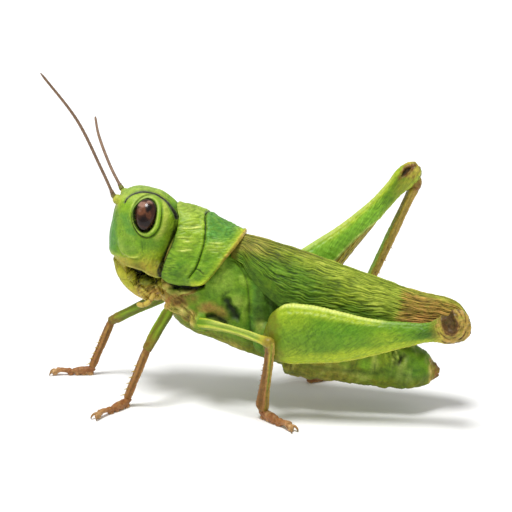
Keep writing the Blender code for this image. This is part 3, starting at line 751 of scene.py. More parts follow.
def shape_lip_edge(head):
    """The cheek's lower edge, with a painted highlight along it and the cut below it darkened as painted shade,
    where the jaws lie.
    """
    p = head.rest
    x, y, z = p.T
    lip = straight(CHEEK_FLOOR, x)
    under = ramp(z, lip, lip - 0.22) * ramp(y, 1.6, 2.4) * ramp(x, -19.4, -18.8)
    head.points[:, 1] -= np.sign(head.points[:, 1]) * 1.7 * under * ramp(x, -13.2, -15)
    # painted shade in the cut under the lip
    head.mark(dark=ramp(under, 0.25, 0.8))
    edge = bell(z, lip + 0.22, 0.16) * ramp(y, 2, 3) * ramp(x, -19.3, -18.6, -13, -14)
    head.relief(0.1 * edge, 3)
    # painted highlight along the lip's edge
    head.mark(pale=0.6 * edge)


def finish_head(head):
    """The ridges and colours of the face and crown, and fine relief all over."""
    p = head.rest
    x, y, z = p.T
    across, rise, ring, swell = round_eye(p)
    front = ramp(x, *FACE)
    head.lift(0.1 * bell(y, 0.75, 0.22) * front * ramp(z, 23.2, 24.5) - 0.05 * bell(y, 0, 0.35) * front)
    head.lift(0.05 * bell(y, 3.1, 0.2) * front * ramp(z, 23.5, 25, 30.5, 29))
    head.mark(blue=0.55 * ramp(noise(p, 2.6, 8), 0, 0.4) * ramp(z, 24.5, 26) * ramp(swell, 0.9, 1.2))
    # pale on the crown is a painted highlight
    head.mark(blue=0.75 * ramp(x, -20, -21.3) * ramp(z, 23.4, 24.6, 29.5, 27.5),
              leaf=0.4 * ramp(ring, 1.15, 1.45) * ramp(across, -0.5, -1.8) * ramp(z, 31, 29.5, 22.8, 24),
              olive=0.4 * ramp(z, 23.2, 21.8) * ramp(noise(p, 1.6, 5), -0.4, 0.4),
              pale=0.4 * ramp(z, 30.8, 32) * (0.8 + 0.5 * noise(p, 0.8, 7)))
    # leaf at the front of the face is painted shade
    head.mark(leaf=ramp(x, -19.6, -20.8) * ramp(z, 22.5, 24.5, 31, 29.5),
              lime=0.5 * ramp(x, -13.6, -12.4) * ramp(z, 30, 28))
    seat = x - straight(SADDLE_FRONT, z)
    # dark where the pronotum covers the head is painted shade
    head.mark(dark=0.9 * ramp(seat, -0.95, -0.6) * ramp(z, 28.6, 26.6) * ramp(y, 0.8, 1.6),
              leaf=0.6 * ramp(ring, 1.1, 1.2, 1.8, 1.4) * ramp(rise, -0.5, -1.8),
              blue=0.5 * ramp(y, 2.6, 1) * ramp(z, 30.5, 32),
              yellow=0.8 * head.blob((-21, 2, 31), (1.6, 2.4, 1.6)),
              tan=0.5 * head.blob((-21.2, 1.9, 31.3), (0.8, 0.9, 0.9)))
    grainy = 0.4 + 0.6 * ramp(noise(p, 1.6, 9), -0.2, 0.4)
    head.relief(0.036 * noise(p, 0.3, 12) * grainy * ramp(ring, 0.9, 1.2), 15)
    head.relief(0.055 * rough(p, 1.1, 10), 7)


def make_head():
    """The head capsule, with the sockets of eyes and feelers."""
    heights = np.linspace(HEAD[0][0], HEAD[-1][0], 60)
    solids = [closed_loft(level_rings(HEAD, heights, 96))]
    for side in SIDES:
        solids.append(ball(np.array(ANTENNAE[side][0]) + (0.5, 0, -0.3), (0.75, 0.75, 0.8)))
        solids.append(ball((-14.7, side * 3.6, 21.2), (1.8, 1.2, 1.6)))
    mesh = skin_over("head", solids)
    head = sculpt_of(mesh)
    p = head.rest
    x, y, z = p.T
    for step in (shape_orbit, draw_stripe, shape_cheek, shape_face, shape_lip_edge, finish_head):
        step(head)
    head.points[:, 2] += 0.5 * ramp(z, 29.6, 30.8) * bell(x, -14.2, 2.1) * ramp(y, 4.5, 3)
    head.points[:, 2] -= FAR_EYE_DROP * ramp(head.points[:, 1], 1.2, 3.2) * ramp(z, 23.5, 26.5)
    put("head_capsule", head.onto(mesh), "head_shell", "head")


def make_eye(side):
    """An eye whose lower end is narrower, with the cloudy light and dark patches of the real one; the light
    patches at its top are partly a painted highlight.
    """
    rows, columns = 110, 150
    lift = np.linspace(0.02, math.pi - 0.02, rows)[:, None]
    around = np.arange(columns)[None, :] * 2 * math.pi / columns
    up = np.cos(lift) * np.ones_like(around)
    out = np.sin(lift) * np.sin(around)
    across = np.sin(lift) * np.cos(around)
    across = across * (1 + 0.15 * up) + 0.07 * up - 0.1 * np.clip(up, 0, 1) ** 2
    local = np.stack([across, out, up], -1) * EYE_RADII
    flip = np.array([1, side, 1])
    rings = EYE * flip + local @ np.array([(1, 0, 0), EYE_OUT * flip, EYE_UP * flip])
    rings[..., 2] -= FAR_EYE_DROP * (side == RIGHT)
    mesh = mesh_of("eye", *closed_loft(rings))
    eye = sculpt_of(mesh)
    a, _, u = local.reshape(-1, 3).T
    cloud = 0.35 * noise(eye.rest, 0.9, 14)

    def spot(centre_a, centre_u, wide, tall):
        return ramp(np.hypot((a - centre_a) / wide, (u - centre_u) / tall) + cloud, 1.15, 0.55)

    # tan at the top is the eye's own colour and partly a painted highlight
    eye.mark(tan=0.95 * spot(-0.5, 1.3, 0.75, 0.62) + 0.8 * spot(0.6, 1.75, 0.5, 0.35),
             rust=0.95 * spot(-0.4, 0.5, 0.9, 0.8) + 0.7 * spot(0.7, -0.25, 0.4, 0.75))
    eye.mark(tan=0.35 * spot(-0.7, 0.7, 0.35, 0.5),
             dark=0.97 * spot(0.55, 0.8, 0.55, 0.75) + 0.85 * spot(-0.05, -1.3, 1, 0.85))
    eye.mark(dark=0.8 * ramp(np.hypot(a / 1.6, u / 2.35), 0.86, 0.99))
    put("eye_ball", eye.onto(mesh), "eye", "eye", side=side)


def make_antenna(side):
    """A feeler: a stout base, a ring-shaped second piece and a long row of small joints."""
    rows, joints, sides = 330, 30, 16
    share = np.linspace(0, 1, rows)
    base = straight([(0, 0.34), (0.02, 0.42), (0.045, 0.36), (0.055, 0.3), (0.07, 0.34), (0.085, 0.25),
                     (0.12, 0.24), (0.6, 0.24), (0.97, 0.19), (1, 0.08)], share)
    joint = np.where(share > 0.1, (share - 0.1) / 0.9 * joints % 1, 0.5)
    notch = np.exp(-((np.minimum(joint, 1 - joint) / 0.1) ** 2)) * (share > 0.1)
    rings = sweep(bow(ANTENNAE[side], rows), base * (1 - 0.14 * notch), sides)
    mesh = mesh_of("antenna", *closed_loft(rings))
    feeler = sculpt_of(mesh)
    feeler.mark(dark=0.6 * np.repeat(notch, sides))
    feeler.mark(dark=0.7 * np.repeat(bell(share, 0.055, 0.012), sides),
                olive=0.75 * np.repeat(ramp(share, 0.07, 0.02), sides))
    put("feeler", feeler.onto(mesh), "feeler", "antenna", side=side)


def make_labrum():
    """Clypeus and labrum: a long shield before the mouth, with fine ribs along its sides."""
    heights = np.linspace(LABRUM[0][0], LABRUM[-1][0], 50)
    mesh = skin_over("labrum", [closed_loft(level_rings(LABRUM, heights, 64, 2.6))])
    lip = sculpt_of(mesh)
    _, y, z = lip.rest.T
    half = smooth(LABRUM, np.clip(z, 15.3, 20.2))[:, 2]
    share = y / half + 0.02 * noise(lip.points, 1.2, 21)
    for place, depth in ((0.45, 0.03), (0.6, 0.05), (0.72, 0.06), (0.82, 0.07), (0.91, 0.08)):
        line = bell(share, place, 0.02) * ramp(z, 15.4, 16)
        lip.relief(-depth * line, 2)
        lip.mark(brown=(0.35 + 0.5 * ramp(z, 18.5, 16.5)) * line)
    seam = bell(z + 0.3 * np.cos(y), 18.9, 0.1)
    lip.lift(-0.07 * seam)
    lip.mark(olive=0.5 * seam)
    lip.mark(olive=0.35 * ramp(z + 0.4 * noise(lip.points, 1.2, 24), 19.6, 21.2),
             tan=0.75 * ramp(z + 0.4 * noise(lip.points, 1, 23), 18.2, 16.4),
             pale=0.5 * bell(share, 0.5, 0.3) * ramp(z, 20, 18.8))
    lip.relief(0.025 * rough(lip.points, 0.45, 22), 8)
    put("upper_lip", lip.onto(mesh), "mouth", "labrum")


def make_jaw(side):
    """A mandible with the folded jaw behind and below it."""
    flip = np.array([1, side, 1])
    solids = [ball(flip * centre, radii) for centre, radii in (
        ((-16.2, 2.75, 18.95), (1.2, 1.15, 0.8)), ((-18.6, 2.6, 19.7), (0.75, 1.1, 0.9)),
        ((-15, 2.65, 17.55), (1.05, 1, 0.62)), ((-16.5, 2, 17.3), (1.5, 1.3, 1.2)),
        ((-14.2, 2.5, 18.2), (0.75, 0.8, 1)), ((-16, 1.6, 18.4), (2.4, 1.3, 1.6)))]
    for start, end in (((-14.8, 3.1, 18.6), (-13.7, 3, 17)), ((-17.3, 3, 18.1), (-14.9, 3.2, 16.4)),
                       ((-18, 2.9, 18.3), (-16, 2.9, 15.9))):
        path = bow([np.array(start) * flip, (np.array(start) + end) / 2 * flip + (0, side * 0.25, 0),
                    np.array(end) * flip], 16)
        solids.append(closed_loft(sweep(path, np.full(16, 0.3), 12)))
    mesh = skin_over("jaw", solids)
    jaw = sculpt_of(mesh)
    p = jaw.rest
    x, _, z = p.T
    mandible = np.hypot((x + 16.2) / 1.3, (z - 19) / 0.85)
    jaw.mark(dark=0.95 * bell(mandible, 1.1, 0.2) * ramp(z, 18.2, 18.9))
    # painted shade: dark in the cavity beside the mandible and under the cheek's lip
    jaw.mark(dark=0.9 * jaw.blob((-15.1, 3.3, 18.9), (0.55, 1.5, 0.7)))
    jaw.mark(dark=0.9 * ramp(z, 19.2, 19.8) * ramp(x, -17.2, -16), olive=0.95 * ramp(mandible, 1, 0.8))
    jaw.mark(olive=0.7 * jaw.blob((-18.6, 3.3, 19.7), (0.9, 1.5, 1)),
             pale=0.7 * bell(mandible, 1.35, 0.14) * ramp(z, 18.9, 18.4),
             rust=0.95 * jaw.blob((-14.9, 3.2, 17.5), (1.2, 2, 0.85)), tan=0.6 * ramp(z, 18.9, 17.9))
    lines = creased(p @ turned(-40), (2, 1.6, 0.35), 25, 2.2)
    jaw.relief(-0.06 * lines, 6)
    jaw.mark(brown=0.55 * lines * ramp(mandible, 0.9, 1.1))
    put("jaw", jaw.onto(mesh), "mouth", "mandible", side=side)


def make_chin():
    """The lower lip, with fine upright lines."""
    solids = [ball((-13.9, 0, 17.8), (1.6, 2.7, 2))]
    solids += [ball((-15.2, way, 16.3), (1.2, 0.9, 0.8)) for way in (1, -1)]
    mesh = skin_over("chin", solids)
    chin = sculpt_of(mesh)
    lines = creased(chin.points, (0.6, 0.5, 2), 27)
    chin.mark(tan=0.9, brown=0.5 * lines)
    chin.lift(-0.05 * lines)
    put("lower_lip", chin.onto(mesh), "mouth", "labium")


def make_palp(side):
    """A jointed taster beside the mouth."""
    rows, sides = 70, 20
    path = bow([(-14.9, side * 3.35, 17.4), (-15.5, side * 3.9, 16.2), (-16.6, side * 3.8, 15.5),
                (-17.7, side * 3.3, 15.4)], rows)
    share = np.linspace(0, 1, rows)
    radii = 0.42 - 0.05 * share - 0.1 * sum(bell(share, k, 0.025) for k in (0.3, 0.62))
    radii *= np.sqrt(np.clip(1 - ((share - 0.5) / 0.5) ** 10, 0.05, 1))
    mesh = mesh_of("palp", *closed_loft(sweep(path, radii, sides)))
    palp = sculpt_of(mesh)
    palp.mark(tan=0.8,
              brown=0.7 * np.repeat(sum(bell(share, k, 0.03) for k in (0.3, 0.62)), sides))
    put("taster", palp.onto(mesh), "mouth", "palp", side=side)


# ---- Trunk ----

PLEURAL_SEAM = [(-3.4, 3.6, 23.1), (-2.4, 3.5, 22.7), (-1.1, 4, 21.4), (-0.4, 4.7, 19.5), (-0.1, 5.2, 17.2),
                (0, 5.4, 14.5), (0.3, 5.2, 11.5), (0.4, 4, 8.8)]
REAR_SEAM = [(2.6, 4.4, 19.5), (2.7, 4.9, 17.5), (2.9, 5, 15.2), (3.2, 4.9, 12.8)]
FRONT_FOLD = [(-3, 5.3, 18.9), (-4, 5.5, 17.8), (-3.9, 5.5, 16.8)]
HOLLOW = [(-3.4, 5.6, 17.1), (-2.7, 5.6, 15.9), (-2, 5.5, 14.9)]
LEG_SLOT = [(-8.2, 5.1, 14.2), (-7, 5.4, 14.6), (-6, 5.45, 14.85), (-5, 5.5, 14.5), (-3.8, 5.5, 14)]
COLLAR_FOLD = [(-13.2, 3.5, 18.3), (-12, 4.4, 17.8), (-10.6, 5, 17.6), (-8.8, 5.2, 18.2), (-7.8, 5.4, 19)]
UNDER_SADDLE = [(-13.6, 3.6, 19.8), (-12.4, 4.4, 19.3), (-10.5, 5.1, 19.1), (-8.6, 5.4, 19.15),
                (-7.4, 5.5, 19.5)]
TIP_HOLLOW = [(22.9, 2.6, 9.6), (22.2, 3.2, 8.8), (21.9, 3.5, 8)]
SIDE_FOLD = [(5.5, 4.4, 9), (9, 4.6, 7.4), (15, 4.5, 7), (21, 3.8, 6.6), (25, 2.5, 6.4)]


def trunk_rings(stations, start, end, rows, power):
    """Upright rings along X, with as many points each."""
    x = np.linspace(start, end, rows)
    low, high, half = (v[:, None] for v in smooth(stations, x).T)
    c, s = bent((np.arange(72) + 0.5) * 2 * math.pi / 72, power)
    middle = low + 0.45 * (high - low)
    z = middle + np.where(s > 0, high - middle, middle - low) * s
    return np.stack([np.broadcast_to(x[:, None], z.shape), half * c, z], -1)


def shape_chest(body, side_face):
    """The side plates of the thorax, with their seams and hollows."""
    p = body.rest
    z = p[:, 2]
    body.relief(0.16 * noise(p, 2.6, 30) * side_face * ramp(z, 10, 12), 2)
    body.relief(0.08 * noise(p, 1.1, 53) * side_face, 3)
    for height, centre, radii in ((0.34, (-4.2, 5.2, 20.8), (2.6, 4, 3.2)), (0.3, (-1.2, 5.4, 13.2), (2, 4, 2.4)),
                                  (0.34, (1.6, 5.2, 18.2), (1.9, 4, 4.6)), (0.5, (1.2, 4.7, 20.6), (1.6, 4, 2.4))):
        body.lift(height * body.blob(centre, radii))
    body.groove(PLEURAL_SEAM, 0.15, 0.28, "dark", 0.55)
    body.lift(-0.25 * bell(body.line(PLEURAL_SEAM)[0], 0, 0.7) * ramp(z, 22.5, 20))
    body.groove(REAR_SEAM, 0.4, 0.22, "shade", 0.6)
    boss = body.blob((-1.8, 5.4, 17.3), (1.2, 3, 1.2))
    body.lift(0.42 * boss)
    body.mark(lime=0.65 * boss, pale=0.3 * boss)
    body.groove(FRONT_FOLD, 0.4, 0.25, "shade", 0.8)
    pit = 0.35 * noise(p, 0.9, 52)
    hollow = body.line(HOLLOW)[0]
    body.lift(-0.75 * ramp(hollow + pit, 1.1, 0))
    # The hollow is cut in and darkened to near-black at its deepest.
    body.mark(shade=0.9 * ramp(hollow + pit, 1.4, 0.4), ink=0.8 * ramp(hollow + 0.7 * pit, 0.75, 0.1))
    # painted shadow of the middle thigh on the body, in a cut-in slot above it
    slot, slot_along = body.line(LEG_SLOT)
    slot = slot / (0.35 + 0.65 * ramp(slot_along, 0.1, 0.6)) + 0.3 * pit
    body.lift(-0.4 * ramp(slot, 0.7, 0))
    body.mark(dark=0.8 * ramp(slot, 0.75, 0))
    patch = body.blob((-6.2, 5.4, 16.1), (2.4, 3, 1.3))
    patch = np.maximum(patch, body.blob((-4.4, 5.5, 15.6), (1.8, 3, 1.3)))
    body.mark(tan=0.6 * ramp(patch, 0.1, 0.8), olive=0.7 * ramp(patch + 0.3 * noise(p, 1.1, 31), 0.1, 0.6),
              brown=0.55 * ramp(patch + 0.35 * noise(p, 0.7, 31), 0.3, 1))
    body.mark(brown=0.6 * body.blob((-4.2, 5.5, 14.9), (1.9, 3, 1.3)),
              shade=0.5 * body.blob((-3.6, 5.5, 14.6), (3.4, 3, 1.4)))


def shape_collar(body):
    """The fold under the pronotum, and the pleated roots of the front legs."""
    p = body.rest
    x, _, z = p.T
    # painted shadow under the pronotum's lower edge
    away = body.line(UNDER_SADDLE)[0]
    body.lift(-0.75 * ramp(away, 0.85, 0.3) * ramp(z, 20.6, 19.8))
    body.mark(dark=ramp(away, 0.75, 0.4) * ramp(z, 20.4, 19.9))
    away = body.line(COLLAR_FOLD)[0]
    collar = ramp(away, 1.2, 0.3) * (z > np.interp(x, [-13.2, -10.6, -7.8], [18.1, 17.4, 18.3]))
    body.lift(0.35 * collar * ramp(z, 19.6, 19))
    # brown under the collar, and in its fold below, is painted shade
    body.mark(tan=0.9 * collar * ramp(x, -7.6, -9),
              brown=0.5 * ramp(away, 2.2, 1) * ramp(z, 18.2, 17.6) * ramp(x, -7, -8.5),
              pale=0.5 * collar * ramp(z, 18.6, 18.2) * ramp(x, -8, -9.5))
    body.groove(COLLAR_FOLD, 0.24, 0.35, "brown", 0.95)
    root = np.maximum(body.blob((-11.4, 5, 15.9), (2.8, 4, 3)),
                      body.blob((-9.2, 5.2, 14.2), (2.8, 4, 2)))
    root = ramp(root, 0.25, 0.6)
    pleats = creased(p @ turned(-50), (0.38, 4, 3.2), 33, 2)
    body.relief((0.07 - 0.2 * pleats) * root, 5)
    body.mark(tan=0.9 * root * (0.85 + 0.3 * noise(p, 1, 34)),
              pale=0.35 * body.blob((-10.6, 5.3, 15.2), (1.8, 3, 1.4)), brown=0.6 * pleats * root)
    body.mark(brown=0.8 * root * ramp(z, 15.2, 16.8),
              pale=0.4 * root * ramp(pleats, 0.3, 0) * ramp(noise(p, 1.2, 47), 0, 0.5),
              tan=0.9 * ramp(x, -11.5, -12.8))


def shape_belly(body):
    """The wrinkled underside."""
    p = body.rest
    x, _, z = p.T
    body.mark(tan=0.45 * ramp(noise(p, 2.2, 57), 0, 0.5) * ramp(z, 14, 10) * ramp(x, 3, -3))
    floor = np.interp(x, [-12, -6, 0, 5, 12, 24], [13.5, 11.6, 10, 8, 6, 5.5])
    belly = ramp(z - floor, 2, -0.5)
    body.mark(olive=0.85 * belly)
    body.relief(0.06 * noise(p, (0.45, 1.2, 2.4), 35) * belly, 7)


def shape_abdomen(body):
    """The rings of the abdomen, each a step above the next, with pleats."""
    p = body.rest
    x, _, z = p.T
    rear = ramp(x, 4.3, 5.6)
    slant = x - 0.28 * (z - 8) + 0.35 * noise(p, 2.6, 36)
    place = (slant - ABDOMEN_START) / (ABDOMEN_END - ABDOMEN_START) * SEGMENTS
    share = place % 1
    step = 0.16 * np.sqrt(np.clip(share, 0, 1)) * ramp(share, 1, 0.8)
    body.lift(step * rear * ramp(x, 25.5, 22.5))
    joint = np.exp(-((np.minimum(share, 1 - share) / 0.05) ** 2)) * rear * ramp(x, 24, 21)
    body.mark(shade=0.55 * joint * ramp(noise(p, 2.5, 37), -0.4, 0.4) * ramp(z, 5, 7))
    body.groove(SIDE_FOLD, 0.5, 0.2, "shade", 0.5)
    lumps = noise(p @ turned(-35), (2.6, 3, 1.1), 38) * rear
    body.relief(0.15 * lumps, 3)
    dull = (0.55 + 0.4 * ramp(x, 18, 14)) * ramp(x, 25, 21)
    body.mark(tan=0.5 * rear * ramp(x, 10.5, 7.5) * ramp(z, 8.5, 6),
              olive=rear * dull * ramp(noise(p, 2.6, 41), -0.7, 0.1))
    body.mark(tan=0.28 * rear * ramp(x, 17, 12),
              pale=0.25 * rear * ramp(noise(p @ turned(20), (1.2, 2, 3), 56), 0, 0.5) * ramp(z, 4.5, 6.5))
    pleat = creased(p @ turned(15), (0.4, 3, 2), 48, 2.4) * rear
    body.relief(-0.07 * pleat * ramp(noise(p, 3, 39), -0.1, 0.4), 5)
    young = body.blob((7, 4.4, 7), (2.6, 4, 3))
    body.relief(-0.1 * creased(p @ turned(15), (0.34, 3, 2), 49, 2) * young, 6)
    body.mark(lime=0.5 * young, leaf=0.35 * rear * ramp(noise(p, 3, 40), -0.1, 0.4),
              shade=0.45 * rear * ramp(noise(p, 2.4, 50), 0, 0.5))


def shape_tip(body):
    """The folds and lobes at the end of the abdomen."""
    p = body.rest
    x = p[:, 0]
    for k, depth in enumerate((0.26, 0.34, 0.2)):
        crease = [(20 + 1 * k, 3.7, 10.8), (20.7 + 0.9 * k, 3.9, 9.4), (21.1 + 0.4 * k, 3.8, 7.9 - 0.4 * k)]
        away, along = body.line(crease)
        away = away + 0.25 * noise(p, 0.7, 54 + k)
        fade = ramp(along, 1, 0.4)
        body.relief(depth * fade * (bell(away, 0.5, 0.26) * 0.6 - bell(away, 0, 0.26)), 2)
        body.mark(shade=0.45 * fade * bell(away, 0, 0.26))
    # dark in the hollow is painted shade
    body.groove(TIP_HOLLOW, 0.45, 0.5, "dark", 0.8)
    end_lobe = body.blob((23.9, 3.2, 6.8), (2.2, 3.4, 2.8))
    body.lift(0.35 * end_lobe)
    # pale here is a painted sheen on the end lobe
    body.mark(leaf=0.9 * end_lobe, pale=0.35 * body.blob((22.3, 3.8, 7.6), (0.9, 2, 2.4)))
    tail = x + 0.25 * noise(p, 0.9, 58)
    body.lift(-0.2 * bell(tail, 26.75, 0.25))
    body.mark(tan=0.85 * bell(tail, 26.7, 0.3),
              brown=0.5 * bell(tail, 26.9, 0.15) + 0.9 * ramp(tail, 26.9, 27.3))
    body.relief(0.12 * rough(p, 0.7, 42) * ramp(x, 26.7, 27.2), 4)


def finish_body(body, side_face):
    """The colours of the thorax, and fine relief all over."""
    p = body.rest
    x, _, z = p.T
    chest = ramp(x, 5.2, 3.4)
    body.mark(shade=0.95 * body.blob((3.4, 4.8, 17.2), (1.9, 3, 2)))
    fore = ramp(x, 0.2, -1.2)
    body.mark(leaf=side_face * (0.35 + 0.65 * (1 - fore)) * ramp(noise(p, 2, 43), -0.3, 0.3) * chest,
              shade=0.55 * side_face * ramp(noise(p, 2.2, 51), -0.1, 0.4) * chest * (1 - fore))
    # leaf and shade behind the seam are painted shade round the root of the hind thigh
    body.mark(leaf=0.95 * side_face * ramp(x, 0, 0.8) * chest,
              shade=0.75 * side_face * ramp(x, 0, 1.2) * ramp(z, 13.5, 15.5) * chest,
              lime=0.65 * side_face * ramp(noise(p, 1.6, 44), 0, 0.4) * chest * fore)
    body.mark(lime=0.8 * body.blob((-3.9, 5.5, 20.2), (2.4, 4, 2.6)),
              tan=0.35 * body.blob((1.6, 5, 13.8), (1.2, 3, 2)))
    body.relief(0.06 * rough(p, 1, 45), 6)
    body.relief(ribs(p @ turned(25), (1.3, 1.3, 0.45), 59, 0.12, 0.4, 0.02) * side_face, 6)
    body.relief(0.016 * noise(p, 0.3, 46), 10)


def make_body():
    """One skin over the neck, thorax, abdomen and the roots of the legs."""
    solids = [
        closed_loft(trunk_rings(TRUNK, -14, 5.3, 50, 2.3)),
        closed_loft(trunk_rings(ABDOMEN, 4.6, 26.9, 60, 2.15)),
        ball((26.4, 0, 6.4), (1.25, 1.6, 1.6)),
        *(ball((27.1, 0.4 * way, 6.45), (0.8, 0.5, 0.5)) for way in (1, -1)),
        ball((27.1, 0, 5.7), (0.75, 0.7, 0.45)),
    ]
    for (pair, side), centre in COXAE.items():
        solids.append(ball(centre, np.array(COXA_RADII[pair]) * (1.05, 0.95, 1.05)))
        if pair != "hind":
            hip, knee = np.array(LEGS[pair, side][:2])
            size = 1.15 if pair == "middle" else 1.05
            solids.append(ball(hip + 0.4 * unit(knee - hip), (size, 0.95 * size, size)))
    mesh = skin_over("body", solids)
    body = sculpt_of(mesh)
    side_face = ramp(body.rest[:, 1], 2, 3.5)
    shape_chest(body, side_face)
    shape_collar(body)
    shape_belly(body)
    shape_abdomen(body)
    shape_tip(body)
    finish_body(body, side_face)
    nodes = ["neck", "thorax", "abdomen", "ovipositor"]
    nodes += [f"coxa_{pair}_{SIDES[side]}" for pair, side in COXAE]
    put("body_skin", body.onto(mesh), "body_skin", *nodes)


# ---- Pronotum and wings ----

SULCUS = [(-7.5, 0, 29.3), (-7.3, 1.8, 29), (-6.9, 3.6, 27.9), (-6.8, 5, 26.1), (-7.2, 5.8, 24.2),
          (-7.9, 6.2, 22.3), (-8.9, 6.2, 20.8)]
SULCUS_LINE = [(20.8, -8.9), (22.3, -7.9), (24.2, -7.2), (26.1, -6.8), (27.9, -6.9), (29.3, -7.5)]
FORK = [(-8, 6.2, 22.2), (-7.3, 6.2, 22), (-6.6, 6.3, 21.3)]
SADDLE_THICKNESS, WING_THICKNESS = 0.42, 0.45


def arch_width(x, z, stations, floor, power):
    """Half width at a height of an arch that stands on straight sides below its middle."""
    high, half = smooth(stations, x).T
    middle = floor + 0.25 * (high.T - floor)
    share = np.where(z > middle, (z - middle) / (high.T - middle), (middle - z) / (middle - floor + 3))
    return half.T * (1 - np.clip(np.abs(share), 0, 1) ** power) ** (1 / power)


def make_saddle():
    """The pronotum: a thin arched plate, with a rim all round and a cut across it."""
    columns, rows = 271, 172
    share = np.linspace(-1, 1, columns)[:, None]
    down = np.linspace(0, 1, rows)[None, :]
    climb = np.sin((1 - np.abs(share)) * math.pi / 2) * np.ones_like(down)
    x = np.full((columns, rows), -8)
    for _ in range(14):
        high = smooth(SADDLE, x)[..., 0]
        z = SADDLE_LOWEST + (high - SADDLE_LOWEST) * climb
        front, rear = straight(SADDLE_FRONT, z), straight(SADDLE_REAR, z)
        x = front + (rear - front) * down
    y = np.sign(share) * arch_width(x, z, SADDLE, SADDLE_FLOOR, 2.3)
    grid = np.stack([x, y, z], -1)
    normals = grid_normals(grid)
    inner = grid - SADDLE_THICKNESS * normals
    saddle = Sculpt(grid.reshape(-1, 3), normals.reshape(-1, 3))
    p = saddle.rest
    x, y, z = p.T
    to_front = x - front.ravel()
    to_rear = rear.ravel() - x
    to_low = z - SADDLE_LOWEST
    edge = np.minimum(np.minimum(to_front, to_rear * 0.8), to_low)

    saddle.lift(-0.22 * np.exp(-((np.clip(edge, 0, 9) / 0.14) ** 2)))
    saddle.lift(-(0.34 + 0.3 * ramp(z, 30, 31.5)) * ramp(to_front, 1.9, 0) * ramp(z, 27.5, 30))
    lip = (0.12 + 0.1 * ramp(z, 23, 25)) * bell(to_rear, 0.5, 0.35)
    saddle.relief(lip + 0.08 * bell(to_low, 0.45, 0.3), 1.5)
    away = saddle.line(SULCUS)[0]
    saddle.relief(0.12 * bell(away, 0.5, 0.3), 2)
    saddle.groove(SULCUS, 0.14, 0.34, "shade", 0.9, taper=False)
    # painted shade: dark at the bottom of the cut and in its fork
    saddle.mark(dark=0.85 * bell(away, 0, 0.07) * ramp(noise(p, 1.6, 59), -0.5, 0.3))
    saddle.groove(FORK, 0.12, 0.2, "dark", 0.8)
    saddle.lift(0.1 * bell(y, 0, 0.3))

    behind = ramp(x - straight(SULCUS_LINE, z), -0.1, 0.5)
    top = ramp(z, 25.2, 27)
    saddle.mark(blue=0.85 * behind * top * ramp(to_rear, 0.8, 2.2),
                leaf=0.5 * behind * ramp(noise(p, 1.8, 51), -0.1, 0.5))
    rear_rim = 0.45 + 0.55 * ramp(z, 23, 25.5)
    saddle.mark(lime=0.9 * ramp(to_rear, 1.6, 0.3) * rear_rim + 0.45 * ramp(to_low, 1.6, 0.4) * behind,
                pale=0.32 * (1 - behind) * ramp(z, 28.4, 30) * (0.8 + 0.4 * noise(p, 0.9, 55)),
                yellow=0.9 * ramp(to_rear, 0.9, 0.15) * top + 0.3 * ramp(to_low, 1, 0.2) * behind,
                tan=0.75 * ramp(to_rear, 0.75, 0.1) * ramp(z, 22, 24.5),
                brown=0.45 * ramp(to_rear, 0.35, 0.05) * ramp(z, 26, 24.5),
                shade=0.45 * ramp(z, 22.8, 20.5) * (1 - behind))
    bands = np.zeros(len(p))
    for centre, radii in (((-8.9, 4.2, 28.2), (2.2, 3, 1.2)), ((-9.6, 5.6, 25), (1.5, 2.5, 0.7)),
                          ((-5.1, 5.2, 25.4), (1.7, 2.5, 1)), ((-9.5, 5.2, 26.4), (1.7, 2.5, 0.8))):
        bands = np.maximum(bands, saddle.blob(centre, radii))
    lines = noise(p, (2.4, 2, 0.22), 52)
    saddle.relief(0.11 * lines * bands, 9)
    # pale on the raised lines is a painted highlight
    saddle.mark(pale=0.7 * ramp(lines, 0.1, 0.5) * bands + 0.15 * bands, lime=0.35 * bands)
    calm = 0.45 + 0.55 * ramp(noise(p, 2.4, 57), -0.3, 0.3)
    saddle.relief(ribs(p, (1.3, 1.2, 0.34), 53, 0.2, 0.5, 0.05) * calm, 8)
    saddle.relief(0.045 * noise(p, (0.6, 0.5, 0.26), 58), 7)
    saddle.relief(0.09 * noise(p, (2, 1.5, 0.9), 65), 4)
    # painted shade: leaf darker towards the bottom, and shade and dark along the front edge where the head meets
    # it
    saddle.mark(leaf=(0.55 + 0.4 * noise(p, 1.6, 54)) * ramp(z, 27, 23) * ramp(to_low, 0.3, 1.2),
                shade=0.45 * ramp(to_front, 0.9, 0.1) * ramp(z, 29, 26),
                dark=0.9 * ramp(to_front, 0.28, 0.12) * ramp(z, 28, 26, 20.2, 21.2))
    saddle.lift(0.05 * rough(p, 1.4, 56))
    mesh = mesh_of("pronotum", *plate(saddle.points.reshape(grid.shape), inner))
    put("pronotum_plate", saddle.onto(mesh, 2), "saddle_shell", "pronotum")


